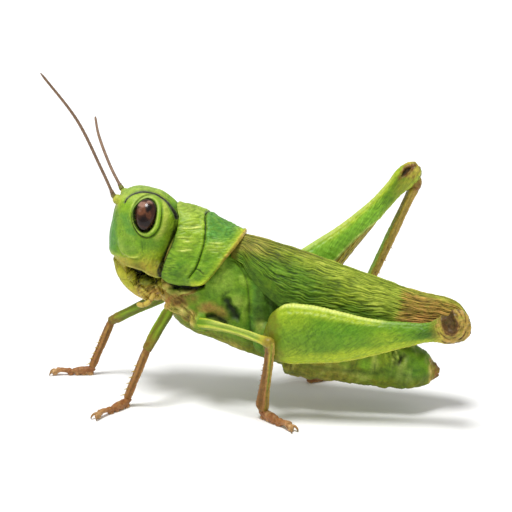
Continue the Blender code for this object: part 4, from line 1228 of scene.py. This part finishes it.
def make_wing(side):
    """A folded fore wing, whose long wrinkles fan out from its root and follow its outline to the tip."""
    rows, columns = 370, 128
    x = np.linspace(WING_START, WING_END, rows)[:, None] * np.ones(columns)
    high = smooth(WINGS, x)[..., 0]
    lowest = straight(WING_EDGE, x)
    climb = np.sin(np.linspace(0, 1, columns) * math.pi / 2)[None, :]
    z = lowest + (high - lowest) * climb
    y = side * np.maximum(arch_width(x, z, WINGS, WING_FLOOR, 2.1), 0.12)
    grid = np.stack([x, y, z], -1)
    normals = grid_normals(grid)
    inner = grid - WING_THICKNESS * normals
    steps = np.linalg.norm(np.diff(grid[:, ::-1], axis=1), axis=2)
    from_ridge = np.concatenate([np.zeros((rows, 1)), np.cumsum(steps, axis=1)], axis=1)[:, ::-1]
    share = (from_ridge / from_ridge[:, :1]).ravel()
    from_ridge = from_ridge.ravel()
    wing = Sculpt(grid.reshape(-1, 3), normals.reshape(-1, 3))
    p = wing.rest
    x, y, z = p.T
    to_edge = z - lowest.ravel()
    lanes = np.stack([x, 0 * x, 8.6 * share], 1)
    lanes[:, 2] += 0.26 * noise(p, 2.4, 61) + 0.11 * noise(p, 0.9, 62)

    strength = ramp(x, -3, -1) * (0.72 + 0.28 * ramp(x, 8, 3) + 0.3 * ramp(x, 20, 24))
    strength *= 0.35 + 0.65 * ramp(from_ridge, 0.1, 0.9)
    hollow = ramp(x, -1.6, 0.2, 7.5, 3.5) * ramp(to_edge, 3.4, 1.6)
    strength *= 1 - 0.85 * hollow
    fine = np.abs(noise(lanes, (3, 1, 0.27), 65 + side))
    wing.relief(ribs(lanes, (4.2, 1, 0.46), 63 + side, 0.28, 0.45, 0.07) * strength, 6)
    wing.relief((0.34 * np.minimum(fine, 0.5) - 0.085) * strength, 13)
    across = creased(lanes, (0.5, 1, 1.2), 68, 2.4) * ramp(noise(p, 1.5, 69), 0, 0.5)
    wing.relief(-0.04 * across * strength, 5)
    wing.lift(-0.5 * ramp(to_edge, 1.4, 0.1) * ramp(x, 5, 3))
    wing.lift(-0.35 * hollow)

    blotch = noise(p, 2.2, 66)
    wing.mark(olive=0.85 * ramp(x + 0.9 * blotch, 6, 0.5) * ramp(from_ridge, 4.6, 2.6))
    wing.mark(olive=0.5 * ramp(x + 0.9 * blotch, 12, 7) * ramp(from_ridge, 2.5, 0.5))
    middle = ramp(x, 1, 4, 15, 8) * ramp(from_ridge + 0.5 * blotch, 2.4, 4.6)
    wing.mark(leaf=0.95 * middle)
    wing.mark(leaf=0.9 * ramp(x, -1.5, 0.5, 5, 2.5) * ramp(from_ridge, 3, 5))
    wing.mark(leaf=0.5 * ramp(x, 4, 8, 20, 15) * ramp(noise(p, 2.6, 60), 0, 0.4))
    # leaf and shade here are painted shade along the lower edge, over the thigh and where the wing meets the body
    wing.mark(leaf=0.75 * ramp(to_edge + 0.5 * blotch, 3.6, 1.4) * ramp(x, 22, 19, 2, 4),
              shade=0.5 * ramp(to_edge + 0.6 * blotch, 2.8, 0.8) * ramp(x, 15, 11, 2, 5))
    wing.mark(leaf=0.9 * ramp(to_edge, 1.6, 0.6) * ramp(x, 1.5, -0.5))
    limit = 5 + 2.5 * ramp(x, 13, 18)
    light = ramp(x + blotch, 5, 11) * ramp(from_ridge + 0.6 * blotch, limit, limit - 3) * ramp(x, 23, 21)
    wing.mark(lime=0.8 * light,
              shade=0.85 * hollow * ramp(to_edge, 2.6, 0.8) * ramp(x, 6, 3.5))
    streaks = noise(lanes, (2.2, 1, 0.42), 70)
    end = ramp(x + 1.5 * streaks + 0.5 * blotch - 0.12 * (z - 16), 21, 23.2)
    # brown in the valleys of the fine wrinkles is painted shade
    wing.mark(tan=0.95 * end * (0.35 + 0.65 * ramp(from_ridge + 0.3 * blotch, 0.3, 1.8)),
              lime=0.8 * end * ramp(from_ridge, 1.6, 0.6),
              brown=0.7 * end * ramp(fine, 0.12, 0) * ramp(from_ridge, 0.5, 1.6))
    wing.mark(brown=0.45 * end * ramp(to_edge + 0.6 * blotch, 3.4, 1.2) * ramp(x, 29, 27))
    wing.mark(brown=0.5 * ramp(x, -1.6, -3))
    wing.lift(0.03 * rough(p, 0.8, 67))
    mesh = mesh_of("wing", *plate(wing.points.reshape(grid.shape), inner))
    put("fore_wing", wing.onto(mesh, 2), "wing", "wing", side=side)


# ---- Legs ----


def limb(start, end, stations, rows, sides, power=2):
    """Rings round a straight leg piece, and for every point its distance along it and turn round it."""
    start = np.asarray(start, float)
    along = unit(np.asarray(end) - start)
    side = unit(np.cross(along, (0, 0, 1)))
    up = np.cross(side, along)
    first, last = stations[0][0], stations[-1][0]
    places = first + (last - first) * (1 - np.cos(np.linspace(0, math.pi, rows))) / 2  # crowded at both ends
    low, high, half = np.clip(smooth(stations, places).T, 0.03, None)
    turn = (np.arange(sides) + 0.5) * 2 * math.pi / sides
    c, s = bent(turn, power)
    tall = np.where(s > 0, high[:, None], low[:, None]) * s
    wide = half[:, None] * c
    rings = start + places[:, None, None] * along + wide[..., None] * side + tall[..., None] * up
    return rings, np.repeat(places, sides), np.tile(turn, rows), (side, up, along)


def slim_stations(r, long, knob):
    """A leg piece that is rounded at both ends and thicker at its joints."""
    end = long / r
    table = [
        (-0.45, 0.1, 0.1), (-0.3, 0.6, 0.6), (0.1, 0.95 * knob, 0.95 * knob), (0.7, knob, knob),
        (2, 1, 0.95), (0.3 * end, 1, 0.9), (0.8 * end, 0.9, 0.85), (end - 2.2, 0.92, 0.9),
        (end - 0.8, knob, knob), (end - 0.1, 0.95 * knob, 0.95 * knob), (end + 0.35, 0.6, 0.6),
        (end + 0.5, 0.1, 0.1),
    ]
    return [(place * r, deep * r, deep * r, wide * r) for place, deep, wide in table]


def spike(base, tip, radius):
    """A slender curved thorn, as points and faces."""
    base, tip = np.asarray(base, float), np.asarray(tip, float)
    share = np.linspace(0, 1, 7)
    path = base + share[:, None] * (tip - base)
    return closed_loft(sweep(path, radius * np.clip(1 - share, 0.06, 1) ** 0.8, 8))


def colour_knee(thigh, near, p, far, height, flat, slant):
    """The knee's folds and its dark hollow. Far and height are distances from the hip in the side view."""
    if near:
        hollow = np.hypot((far - 27.35 + 0.15 * height) / 1, (height - 1.6) / 1.6) + 0.16 * noise(p, 0.8, 74)
        reach = np.hypot((far - 27.5) / 1, (height - 1.5) / 1.3)
        thigh.mark(tan=0.45 * ramp(far + 0.8 * noise(slant, (1.5, 1, 0.35), 88), 23.6, 25.6),
                   yellow=0.45 * ramp(far, 25.6, 26.6) * ramp(height, 3, 4))
        thigh.mark(yellow=0.5 * ramp(far, 24.4, 25.2, 26.4, 25.9) * ramp(height, 1.6, 0.6))
        zone = ramp(far + 0.55 * noise(slant, (1.2, 1, 0.4), 88) + 0.12 * height, 24.8, 25.8)
        around = np.arctan2(height - 1.5, far - 27.5) * 1.3
        folds = noise(np.stack([reach * 4, 0 * far, around], 1), (1, 1, 1.1), 74)
        folds = 1.6 * folds + 0.5 * noise(p, 0.5, 94)
        bright, upper = zone, ramp(height, 4.2, 2.6)
        cuts, rim = ramp(folds, -0.1, -0.9), 0.9 * ramp(hollow, 1.4, 1)
    else:
        arc = height - 1.2 + 0.22 * (far - 29.3) ** 2 * (far > 29.3)
        hollow = np.hypot((far - 29.3) / 1.15, arc / 0.36) + 0.25 * noise(p, 0.6, 74)
        ragged = far + 0.3 * noise(p, 0.7, 88) - 0.5 * bell(height, -0.6, 0.8)
        zone = ramp(ragged, 28.2, 28.9) * ramp(height, 1.95, 1.55)
        folds = 1.4 * noise(flat @ turned(-30), (1.8, 1, 0.45), 74) + 0.4 * noise(p, 0.5, 94)
        thigh.mark(leaf=0.95 * ramp(height, 1.5, 1.9) * ramp(far, 26, 28.5),
                   lime=0.9 * bell(height, 1.75, 0.22) * ramp(far, 25, 27.5, 31.2, 30.4),
                   olive=0.7 * bell(height, 0.7, 0.7) * bell(far, 27.3, 1.3))
        thigh.mark(leaf=0.6 * zone * ramp(height, -0.4, -0.9),
                   yellow=0.75 * zone * np.maximum(bell(height, 0, 0.4), bell(height, 1.6, 0.25)))
        bright, upper = 0.75 * zone * ramp(height, -0.9, -0.2), 0.5
        cuts, rim = ramp(folds, 0.6, -0.3), 0.8 * ramp(hollow, 2, 1)
    thigh.mark(tan=0.95 * bright)
    thigh.relief(0.09 * folds * zone * ramp(hollow, 0.9, 1.3), 5)
    thigh.relief(0.08 * noise(p, (0.9, 0.9, 0.5), 90) * zone, 5)
    thigh.lift(-0.5 * ramp(hollow, 1.15, 0.5))
    thigh.mark(brown=0.95 * upper * zone * cuts + rim,
               dark=(0.6 if near else 0.75) * ramp(hollow, 1.1, 0.7) + 0.5 * bell(hollow, 1, 0.1) * near,
               olive=0.6 * ramp(hollow, 0.8, 0.3) * near)


def make_thigh(side):
    """A hind femur: deep at its base, slim towards the knee, with a keel above and below."""
    hip, knee = LEGS["hind", side][:2]
    near = side == LEFT
    rings, far, turn, (out, up, _) = limb(hip, knee, THIGHS[side], 380, 150, 2.15)
    mesh = mesh_of("thigh", *closed_loft(rings))
    thigh = sculpt_of(mesh)
    p = thigh.points
    height = (p - hip) @ up
    wide = (p - hip) @ out
    end = THIGHS[side][-1][0]
    lean = np.sin(turn)
    face = np.abs(np.cos(turn)) ** 0.5
    span = ramp(far, 1.5, 4, end - 3.6, end - 7)
    flat = np.stack([far, wide, height], 1)

    thigh.lift(0.12 * bell(lean, 1, 0.02) * span + 0.09 * bell(lean, -1, 0.02) * span)
    thigh.lift(-0.1 * bell(lean, 0.88, 0.05) * span - 0.08 * bell(lean, -0.84, 0.06) * span)
    thigh.lift(-0.05 * face * np.sin(2 * math.pi * (far / 1.15 + 1.3 * np.abs(lean))) * span * 0.4)
    slant = flat @ turned(-22 if near else -8)
    patchy = 0.25 + 0.75 * ramp(noise(flat, (4.5, 3, 2), 72), -0.2, 0.5)
    wrinkles = ribs(slant, (1.4, 2, 0.42) if near else (3, 2, 0.36), 71, 0.2, 0.4, 0.04)
    thigh.relief(wrinkles * patchy * span * face, 9)
    tiny = ribs(slant, (1 if near else 2.2, 1, 0.22), 77, 0.11, 0.4, 0.02)
    thigh.relief(tiny * ramp(lean, 0.97, 0.85) * ramp(far, 2, 4), 11)
    teeth = np.abs(np.sin(far * 6.5)) * bell(lean, 0.985, 0.02) * ramp(far, 2, 4, end - 3, end - 6)
    thigh.relief((0.035 if near else 0) * teeth, 11)
    thigh.relief(0.025 * noise(p, 0.4, 79), 5)
    if near:
        # lime and pale along the top are partly the thigh's own pale keel and partly a painted highlight
        thigh.mark(lime=0.9 * ramp(lean, 0.62, 0.92) * ramp(far, 19, 15, 0.8, 3))
        thigh.mark(lime=0.45 * ramp(lean, 0.2, 0.7) * ramp(far, 9, 5, 0.8, 3))
        low = ramp(lean + 0.12 * noise(p, 2, 80), -0.15, -0.6)
        thigh.mark(lime=0.95 * low * ramp(far, end - 2.5, end - 5))
        thigh.mark(lime=0.7 * bell(far, 4, 2.4) * ramp(lean, 0.2, -0.4),
                   pale=0.8 * ramp(lean, 0.93, 1) * ramp(far, 19, 16, 2, 4),
                   yellow=0.5 * ramp(lean, -0.8, -1) * ramp(far, end - 2.5, end - 4),
                   leaf=0.85 * bell(lean + 0.25 * noise(p, 2, 78), 0.35, 0.4) * ramp(far, 5, 11))
        thigh.mark(leaf=bell(lean, 0.15, 0.7) * ramp(far, 20.5, 23),
                   lime=0.5 * bell(far, 18, 2.4) * bell(lean, 0, 0.5),
                   tan=0.12 * ramp(far + 0.4 * noise(p, 1.2, 89), 3.1, 1.9) * ramp(lean, 0.9, 0.2),
                   olive=0.85 * ramp(far + 0.5 * noise(p, 1.2, 89), 3.6, 1.6),
                   dark=0.45 * bell(lean, 0.1, 0.6) * ramp(far, 21, 23.5, 26, 24.8))
        thigh.mark(dark=0.12 * bell(lean, -0.1, 0.5) * ramp(far, 1.5, 4, 12, 8))
    else:
        wedge = np.interp(far, [8, 11.5, 16, 19, 21.3], [2.3, 2, 1.45, 0.8, 0])
        low = height + np.interp(far, [0, 8, 11.5, 17, 21.7, 31], [2.2, 2.2, 1.9, 1.55, 1.35, 1.3])
        striped = ramp(low, wedge + 0.08, wedge - 0.08) * ramp(far, 22, 20.5)
        thigh.mark(pale=0.75 * bell(low, wedge + 0.25, 0.12) * ramp(far, 22.5, 20.5), tan=0.95 * striped,
                   yellow=0.7 * striped,
                   brown=0.8 * striped * ramp(np.sin(low * 17 + noise(flat, (4, 2, 2), 76)), 0.1, 0.8))
        thigh.lift(-0.12 * striped)
        # lime and pale along the top are partly the thigh's own pale keel and partly a painted highlight
        thigh.mark(lime=0.9 * ramp(lean, 0.55, 0.95) * ramp(far, 10, 15))
        thigh.mark(lime=0.8 * ramp(lean, -0.2, -0.8) * ramp(far, 16, 20),
                   pale=0.5 * ramp(lean, 0.85, 1) * ramp(far, end - 3, end - 5),
                   fresh=0.95 * ramp(far, 25, 20), leaf=0.35 * bell(lean, 0, 0.5) * ramp(far, 22, 16),
                   yellow=0.45 * ramp(far, 24, 27) * bell(lean, -0.2, 0.5))
    thigh.lift(-0.1 * bell(far, 0.94, 0.14))

    colour_knee(thigh, near, p, far, height, flat, slant)
    thigh.lift(0.03 * rough(p, 1, 75))

    top, ankle = np.array(SHIN_TOPS["hind", side]), np.array(LEGS["hind", side][2])
    if near:
        q = thigh.points
        way = unit(ankle - top)
        along_shin = np.clip((q - top) @ way, 0, np.linalg.norm(ankle - top))
        off = q - top - along_shin[:, None] * way
        gap = np.linalg.norm(off, axis=1)
        room = TIBIA_RADIUS["hind"] * 1.2
        push = np.clip(room - gap, 0, None) * ramp(off @ (0, 1, 0), 1.4, -0.4)
        thigh.points = q - np.array([0, 1, 0]) * push[:, None]
    put("hind_thigh", thigh.onto(mesh), "thigh", "femur_hind", side=side)


def make_femur(pair, side):
    """A front or middle thigh, ribbed along its length."""
    hip, knee = (np.array(v) for v in LEGS[pair, side][:2])
    long = np.linalg.norm(knee - hip)
    rows, sides = 190, 56
    pale = pair == "middle"
    stations = slim_stations(FEMUR_RADIUS, long, 0.95 if pale else 0.9)
    if pale:
        stations = [(d, *(v * (1 - 0.2 * ramp(d, 1.5, 4, long - 0.3, long - 2)) for v in s))
                    for d, *s in stations]
    rings, far, turn, (_, up, _) = limb(hip, knee, stations, rows, sides)
    bulge = np.sin(math.pi * np.clip(far / long, 0, 1)) * (0.42 if pale else 0.12)
    rings = rings + (bulge[:, None] * up).reshape(rings.shape)
    mesh = mesh_of("femur", *closed_loft(rings))
    femur = sculpt_of(mesh)
    p = femur.points
    span = ramp(far, 0.6, 2, long - 0.4, long - 1.8)
    angle = turn + 0.25 * noise(np.stack([far, 0 * far, 0 * far], 1), 3, 84)
    ridge = np.cos(4 * angle + 0.6)
    lanes = np.stack([far, np.cos(turn) * 3.2, np.sin(turn) * 3.2], 1)
    lines = np.abs(noise(lanes, (3.5, 0.5, 0.5), 81))
    femur.relief(0.07 * ridge * span, 3)
    femur.relief((0.11 * np.minimum(lines, 0.5) - 0.03) * span, 7)
    grown = pale * ramp(far, 0.5, 4.5)
    # pale on the upper side and on the tops of the ribs is partly the thigh's own colour and partly a painted
    # highlight
    femur.mark(lime=(0.8 if pale else 0.3) * ramp(ridge, -0.2, 0.8),
               pale=(0.4 * ramp(ridge, 0.2, 0.9) + 0.45 * bell(np.sin(turn), 0.75, 0.25) + 0.15) * grown,
               yellow=0.6 * ramp(np.sin(turn), -0.5, -0.8) * grown,
               leaf=0.6 * ramp(noise(p, 2, 82), 0, 0.5) * ramp(ridge, 0.3, -0.5),
               olive=0 if pale else 0.35)
    femur.mark(olive=(0.15 if pale else 1) * ramp(ridge + 0.5 * noise(p, 2, 82), 0.5, -0.4),
               yellow=(1 if pale else 0.5) * 0.75 * ramp(far, long - 2.8, long - 1)
               + 0.4 * pale * ramp(ridge, 0.5, 1))
    femur.mark(olive=0.7 * ramp(far, long - 1.6, long - 0.8) * pale,
               leaf=0.85 * ramp(far + 0.5 * noise(p, 0.9, 95), 3.2, 0.6))
    tip = ramp(far + 0.3 * noise(p, 0.7, 96), long - (1.2 if pale else 3.2), long - 0.4)
    femur.mark(brown=(0.5 if pale else 0.7) * tip)
    femur.relief(0.05 * noise(p, 0.5, 97) * tip, 6)
    femur.lift(0.03 * rough(p, 0.8, 83))
    put("femur_shell_" + pair, femur.onto(mesh), "thigh", "femur_" + pair, side=side)


def make_tibia(pair, side):
    """A shin with two rows of spines along its back."""
    knee, ankle = LEGS[pair, side][1:3]
    start = np.array(SHIN_TOPS.get((pair, side), knee))
    ankle = np.array(ankle)
    long = np.linalg.norm(ankle - start)
    r = TIBIA_RADIUS[pair]
    rows, sides = 210, 48
    stations = slim_stations(r, long, {"hind": 1.12, "middle": 1, "front": 0.96}[pair])
    if pair == "middle":
        stations = [(d, *(v * (0.8 + 0.22 * max(d, 0) / long) for v in s)) for d, *s in stations]
    rings, far, turn, (out, up, along) = limb(start, ankle, stations, rows, sides)
    solids = [closed_loft(rings)]
    if (pair, side) == ("hind", RIGHT):
        solids.append(ball(start - along * 0.3 - (0.3, 0, 0), (1.15, 0.9, 1.5)))
    back = up
    if pair == "hind":
        back = -up
    count, size = {"hind": (9, 0.55), "middle": (8, 0.5), "front": (6, 0.42)}[pair]
    for k in range(count):
        place = start + along * long * (0.35 + 0.6 * k / (count - 1))
        for way in (-1, 1):
            wider = 0.5 * ramp(0.35 + 0.6 * k / (count - 1), 0.3, 0.8) * (pair == "middle")
            root = place + back * (0.55 * r + wider) + out * way * 0.5 * r
            reach = unit(back + out * way * 0.55 + along * 0.8)
            solids.append(spike(root, root + reach * (0.3 + size * (1 + 0.5 * (k == count - 1))), 0.13))
    mesh = joined("tibia", solids)
    extra = len(mesh.vertices) - rows * sides
    shin = sculpt_of(mesh)
    p = shin.points[:len(far)]

    def field(values, thorn=0):
        return np.concatenate([values + 0 * far, np.full(extra, thorn)])

    share = far / long
    span = ramp(far, 0.5, 1.6, long - 0.3, long - 1.2)
    facing = np.cos(turn) * out[0] + np.sin(turn) * up[0]
    facing = facing / np.hypot(out[0], up[0])
    ridge = np.cos(4 * turn + 0.4)
    lanes = np.stack([far, np.cos(turn) * 3, np.sin(turn) * 3], 1)
    lines = np.abs(noise(lanes, (3, 0.5, 0.5), 85))
    if pair == "middle":
        shin.lift(field(0.35 * ramp(facing, 0, -0.8) * ramp(share, 0.3, 0.8, 1, 0.93)))
    shin.relief(field(0.1 * r * ridge * span), 3)
    shin.relief(field((0.12 * np.minimum(lines, 0.5) - 0.03) * span), 7)
    uneven = 0.3 * noise(p, 1, 98)
    knee_end = ramp(np.linalg.norm(shin.points - start, axis=1), 1.9, 1.1)
    if (pair, side) == ("hind", RIGHT):
        shin.mark(olive=0.95 * knee_end,
                  brown=0.8 * knee_end * ramp(noise(shin.points, 0.9, 100), -0.1, 0.3))
        shin.relief(0.08 * noise(shin.points, 0.6, 101) * knee_end, 5)
    if pair == "hind":
        green = ramp(facing + uneven, 0.4 * ramp(share, 0.2, 0.6) - 0.3, -0.6) * ramp(share, 0.05, 0.3)
        shin.mark(leaf=field(0.9 * green),
                  olive=field(0.6 * ramp(facing, -0.2, -0.6) * ramp(share, 0.45, 0)),
                  yellow=field(0.6 * bell(facing + 0.5 * uneven, 0, 0.4)),
                  tan=field(bell(facing, 0.4, 0.45) * ramp(share, 1, 0.5), 0.6))
        shin.mark(yellow=field(0.5 * bell(facing, 0.5, 0.4)),
                  rust=field(0.4 * ramp(facing, 0.8, 1) * ramp(share, 0.75, 0.3)),
                  brown=field(0.8 * ramp(far, 1.6, 0.3), 0.25))
    elif pair == "middle":
        shin.mark(leaf=field(0.75 * bell(facing + 0.5 * uneven, 0.5, 0.2) * ramp(share, 0.85, 0.5)),
                  olive=field(0.5 * bell(facing, 0.5, 0.25)),
                  yellow=field(0.5 * bell(facing + uneven, 0.15, 0.2) * ramp(share, 0.6, 0.2)),
                  tan=field(0.7 * ramp(facing + uneven, 0.7, 0.95), 0.4),
                  rust=field(0.5 * ramp(facing, 0.5, 0) * ramp(share, 0.2, 0.6)),
                  brown=field(0.9 * ramp(facing + uneven, 0.05, -0.4), 0.5))
        shin.mark(brown=field(0.7 * ramp(lines, 0.12, 0) * ramp(facing, 0.4, 0.1)),
                  yellow=field(0.3 * ramp(far, 1.8, 0.5)), olive=field(0.5 * ramp(far, 1.6, 0.4)))
    else:
        shin.mark(olive=field(0.8 * ramp(share, 0.4, 0.1) * ramp(ridge, 0.5, -0.5)),
                  tan=field(0.3 * ramp(ridge, 0.2, 0.9), 0.6),
                  yellow=field(0.35 * ramp(ridge, 0.4, 0.9) * ramp(share, 0.5, 0.2)),
                  rust=field(0.45 + 0.3 * ramp(share + uneven, 0.4, 0.9)),
                  brown=field(0.3 + 0.5 * ramp(ridge + uneven, 0.3, -0.6) + 0.6 * ramp(far, 1.2, 0.2)))
    shin.relief(field(0.04 * noise(p, 0.45, 99)), 7)
    shin.lift(field(0.03 * rough(p, 0.6, 87)))
    put("shin_" + pair, shin.onto(mesh), "shin", "tibia_" + pair, side=side)


def make_foot(pair, side):
    """A foot: three pads under its first piece, a short piece, a slender one and two curved claws."""
    ankle, toe = (np.array(v) for v in LEGS[pair, side][2:])
    stands = toe[2] < 1
    r = TARSUS_RADIUS[pair] * (1 if stands else 0.8)
    floor = 0 if stands else (ankle[2] + toe[2]) / 2 - 0.5
    heel = np.array([ankle[0], ankle[1], floor])
    tip = np.array([toe[0], toe[1], floor])
    way = unit(tip - heel)
    across = np.cross(way, (0, 0, 1))
    long = np.linalg.norm(tip - heel)

    def at(share, height, sideways=0):
        return heel + way * long * share + across * sideways + np.array([0, 0, height])

    bone = [at(-0.05, 1.25), at(0.08, 0.88), at(0.3, 0.76), at(0.5, 0.66), at(0.62, 0.74), at(0.78, 0.9),
            at(0.9, 0.82)]
    share = np.linspace(0, 1, 60)
    radii = smooth([(0, 0.85), (0.15, 0.95), (0.45, 0.85), (0.52, 0.62), (0.62, 0.8), (0.72, 0.6),
                    (0.85, 0.66), (1, 0.85)], share)[:, 0]
    solids = [closed_loft(sweep(bow(bone, 60), radii * r, 16))]
    for place, size in ((0.06, 0.95), (0.22, 0.85), (0.37, 0.85), (0.55, 0.78)):
        solids.append(ball(at(place, 0.52 * size * r), (size * r * 1.05, size * r * 1.05, size * r * 0.62)))
    solids.append(ball(at(0.95, 0.42), (0.5, 0.5, 0.36)))
    for sideways in (-1, 1):
        claw = bow([at(0.88, 0.8, 0.15 * sideways), at(1, 0.8, 0.4 * sideways),
                    at(1.07, 0.45, 0.55 * sideways), at(1.08, 0.1, 0.56 * sideways)], 24)
        solids.append(closed_loft(sweep(claw, np.linspace(0.26, 0.1, 24), 10)))
    mesh = skin_over("foot", solids)
    foot = sculpt_of(mesh)
    p = foot.points
    share = (p - heel) @ way / long
    height = p[:, 2] - floor
    foot.relief(0.05 * rough(p, 0.5, 91) - 0.04 * creased(p, 0.5, 92), 6)
    foot.points[:, 2] = np.maximum(foot.points[:, 2], floor + 0.004 if stands else -9)
    foot.mark(tan=0.75 * ramp(height, 0.35, 0.1) + 0.5 * ramp(noise(p, 0.9, 93), 0, 0.5),
              rust=0.6 * ramp(share, 0.2, 0.6, 1, 0.85))
    joints = 0.5 * bell(share, 0.48, 0.02) + 0.4 * bell(share, 0.66, 0.02)
    foot.mark(tan=bell(share, 0.9, 0.2), brown=0.5 * ramp(share, 0.98, 1.05) + joints,
              dark=0.7 * ramp(share, 1.04, 1.09) * ramp(height, 0.5, 0.1))
    put("foot_" + pair, foot.onto(mesh), "foot", "tarsus_" + pair, side=side)


# ---- Stage ----

CAMERA_TURN, CAMERA_RISE = math.radians(10), math.radians(15)
CAMERA_LENS, CAMERA_SENSOR, CAMERA_DISTANCE = 100, 36, 213.3
CAMERA_TARGET = np.array([0, 0, 22.9])
WORLD_LIGHT, SUN_LIGHT, SUN_ANGLE, SUN_WAY = 0.52, 2.6, math.radians(18), (0.1, 0.26, -1)
FLOOR_REACH, FLOOR_TONE, FLOOR_ROUGHNESS, FLOOR_SPECULAR = 4, 0.97, 0.8, 0.1  # the reach is in metres


def show(obj):
    bpy.context.scene.collection.objects.link(obj)


def facing(obj, way):
    """Turns a camera or a lamp to look along a direction."""
    obj.rotation_euler = Vector(way).to_track_quat("-Z", "Y").to_euler()


def make_camera():
    level = math.cos(CAMERA_RISE)
    back = np.array([math.sin(CAMERA_TURN) * level, -math.cos(CAMERA_TURN) * level, math.sin(CAMERA_RISE)])
    camera = bpy.data.cameras.new("camera")
    camera.lens = CAMERA_LENS
    camera.sensor_width = CAMERA_SENSOR
    camera.clip_start = 0.01
    obj = bpy.data.objects.new("camera", camera)
    obj.location = Vector((CAMERA_TARGET + back * CAMERA_DISTANCE) * MM + ORIGIN)
    facing(obj, -back)
    show(obj)
    bpy.context.scene.camera = obj


def make_light():
    """An even white world, and one soft sun from above."""
    bpy.context.scene.view_settings.view_transform = "Standard"
    world = bpy.data.worlds.new("studio")
    world.use_nodes = True
    background = world.node_tree.nodes["Background"]
    background.inputs["Color"].default_value = (1, 1, 1, 1)
    background.inputs["Strength"].default_value = WORLD_LIGHT
    bpy.context.scene.world = world
    sun = bpy.data.lights.new("soft_box", "SUN")
    sun.energy = SUN_LIGHT
    sun.angle = SUN_ANGLE
    obj = bpy.data.objects.new("soft_box", sun)
    facing(obj, SUN_WAY)
    show(obj)


def make_floor():
    corners = FLOOR_REACH * np.array([(-1, -1, 0), (1, -1, 0), (1, 1, 0), (-1, 1, 0)], float)
    mesh = mesh_of("floor", corners, [[0, 1, 2, 3]])
    material = bpy.data.materials.new("floor")
    material.use_nodes = True
    inputs = material.node_tree.nodes["Principled BSDF"].inputs
    inputs["Base Color"].default_value = (FLOOR_TONE, FLOOR_TONE, FLOOR_TONE, 1)
    inputs["Roughness"].default_value = FLOOR_ROUGHNESS
    inputs["Specular IOR Level"].default_value = FLOOR_SPECULAR
    mesh.materials.append(material)
    floor = bpy.data.objects.new("floor", mesh)
    show(floor)


make_camera()
make_light()
make_floor()
FINISHES = make_finishes()
for make in (make_head, make_labrum, make_chin, make_body, make_saddle):
    make()
for side in SIDES:
    for make in (make_eye, make_antenna, make_jaw, make_palp, make_wing, make_thigh):
        make(side)
    for pair in ("front", "middle", "hind"):
        if pair != "hind":
            make_femur(pair, side)
        make_tibia(pair, side)
        make_foot(pair, side)
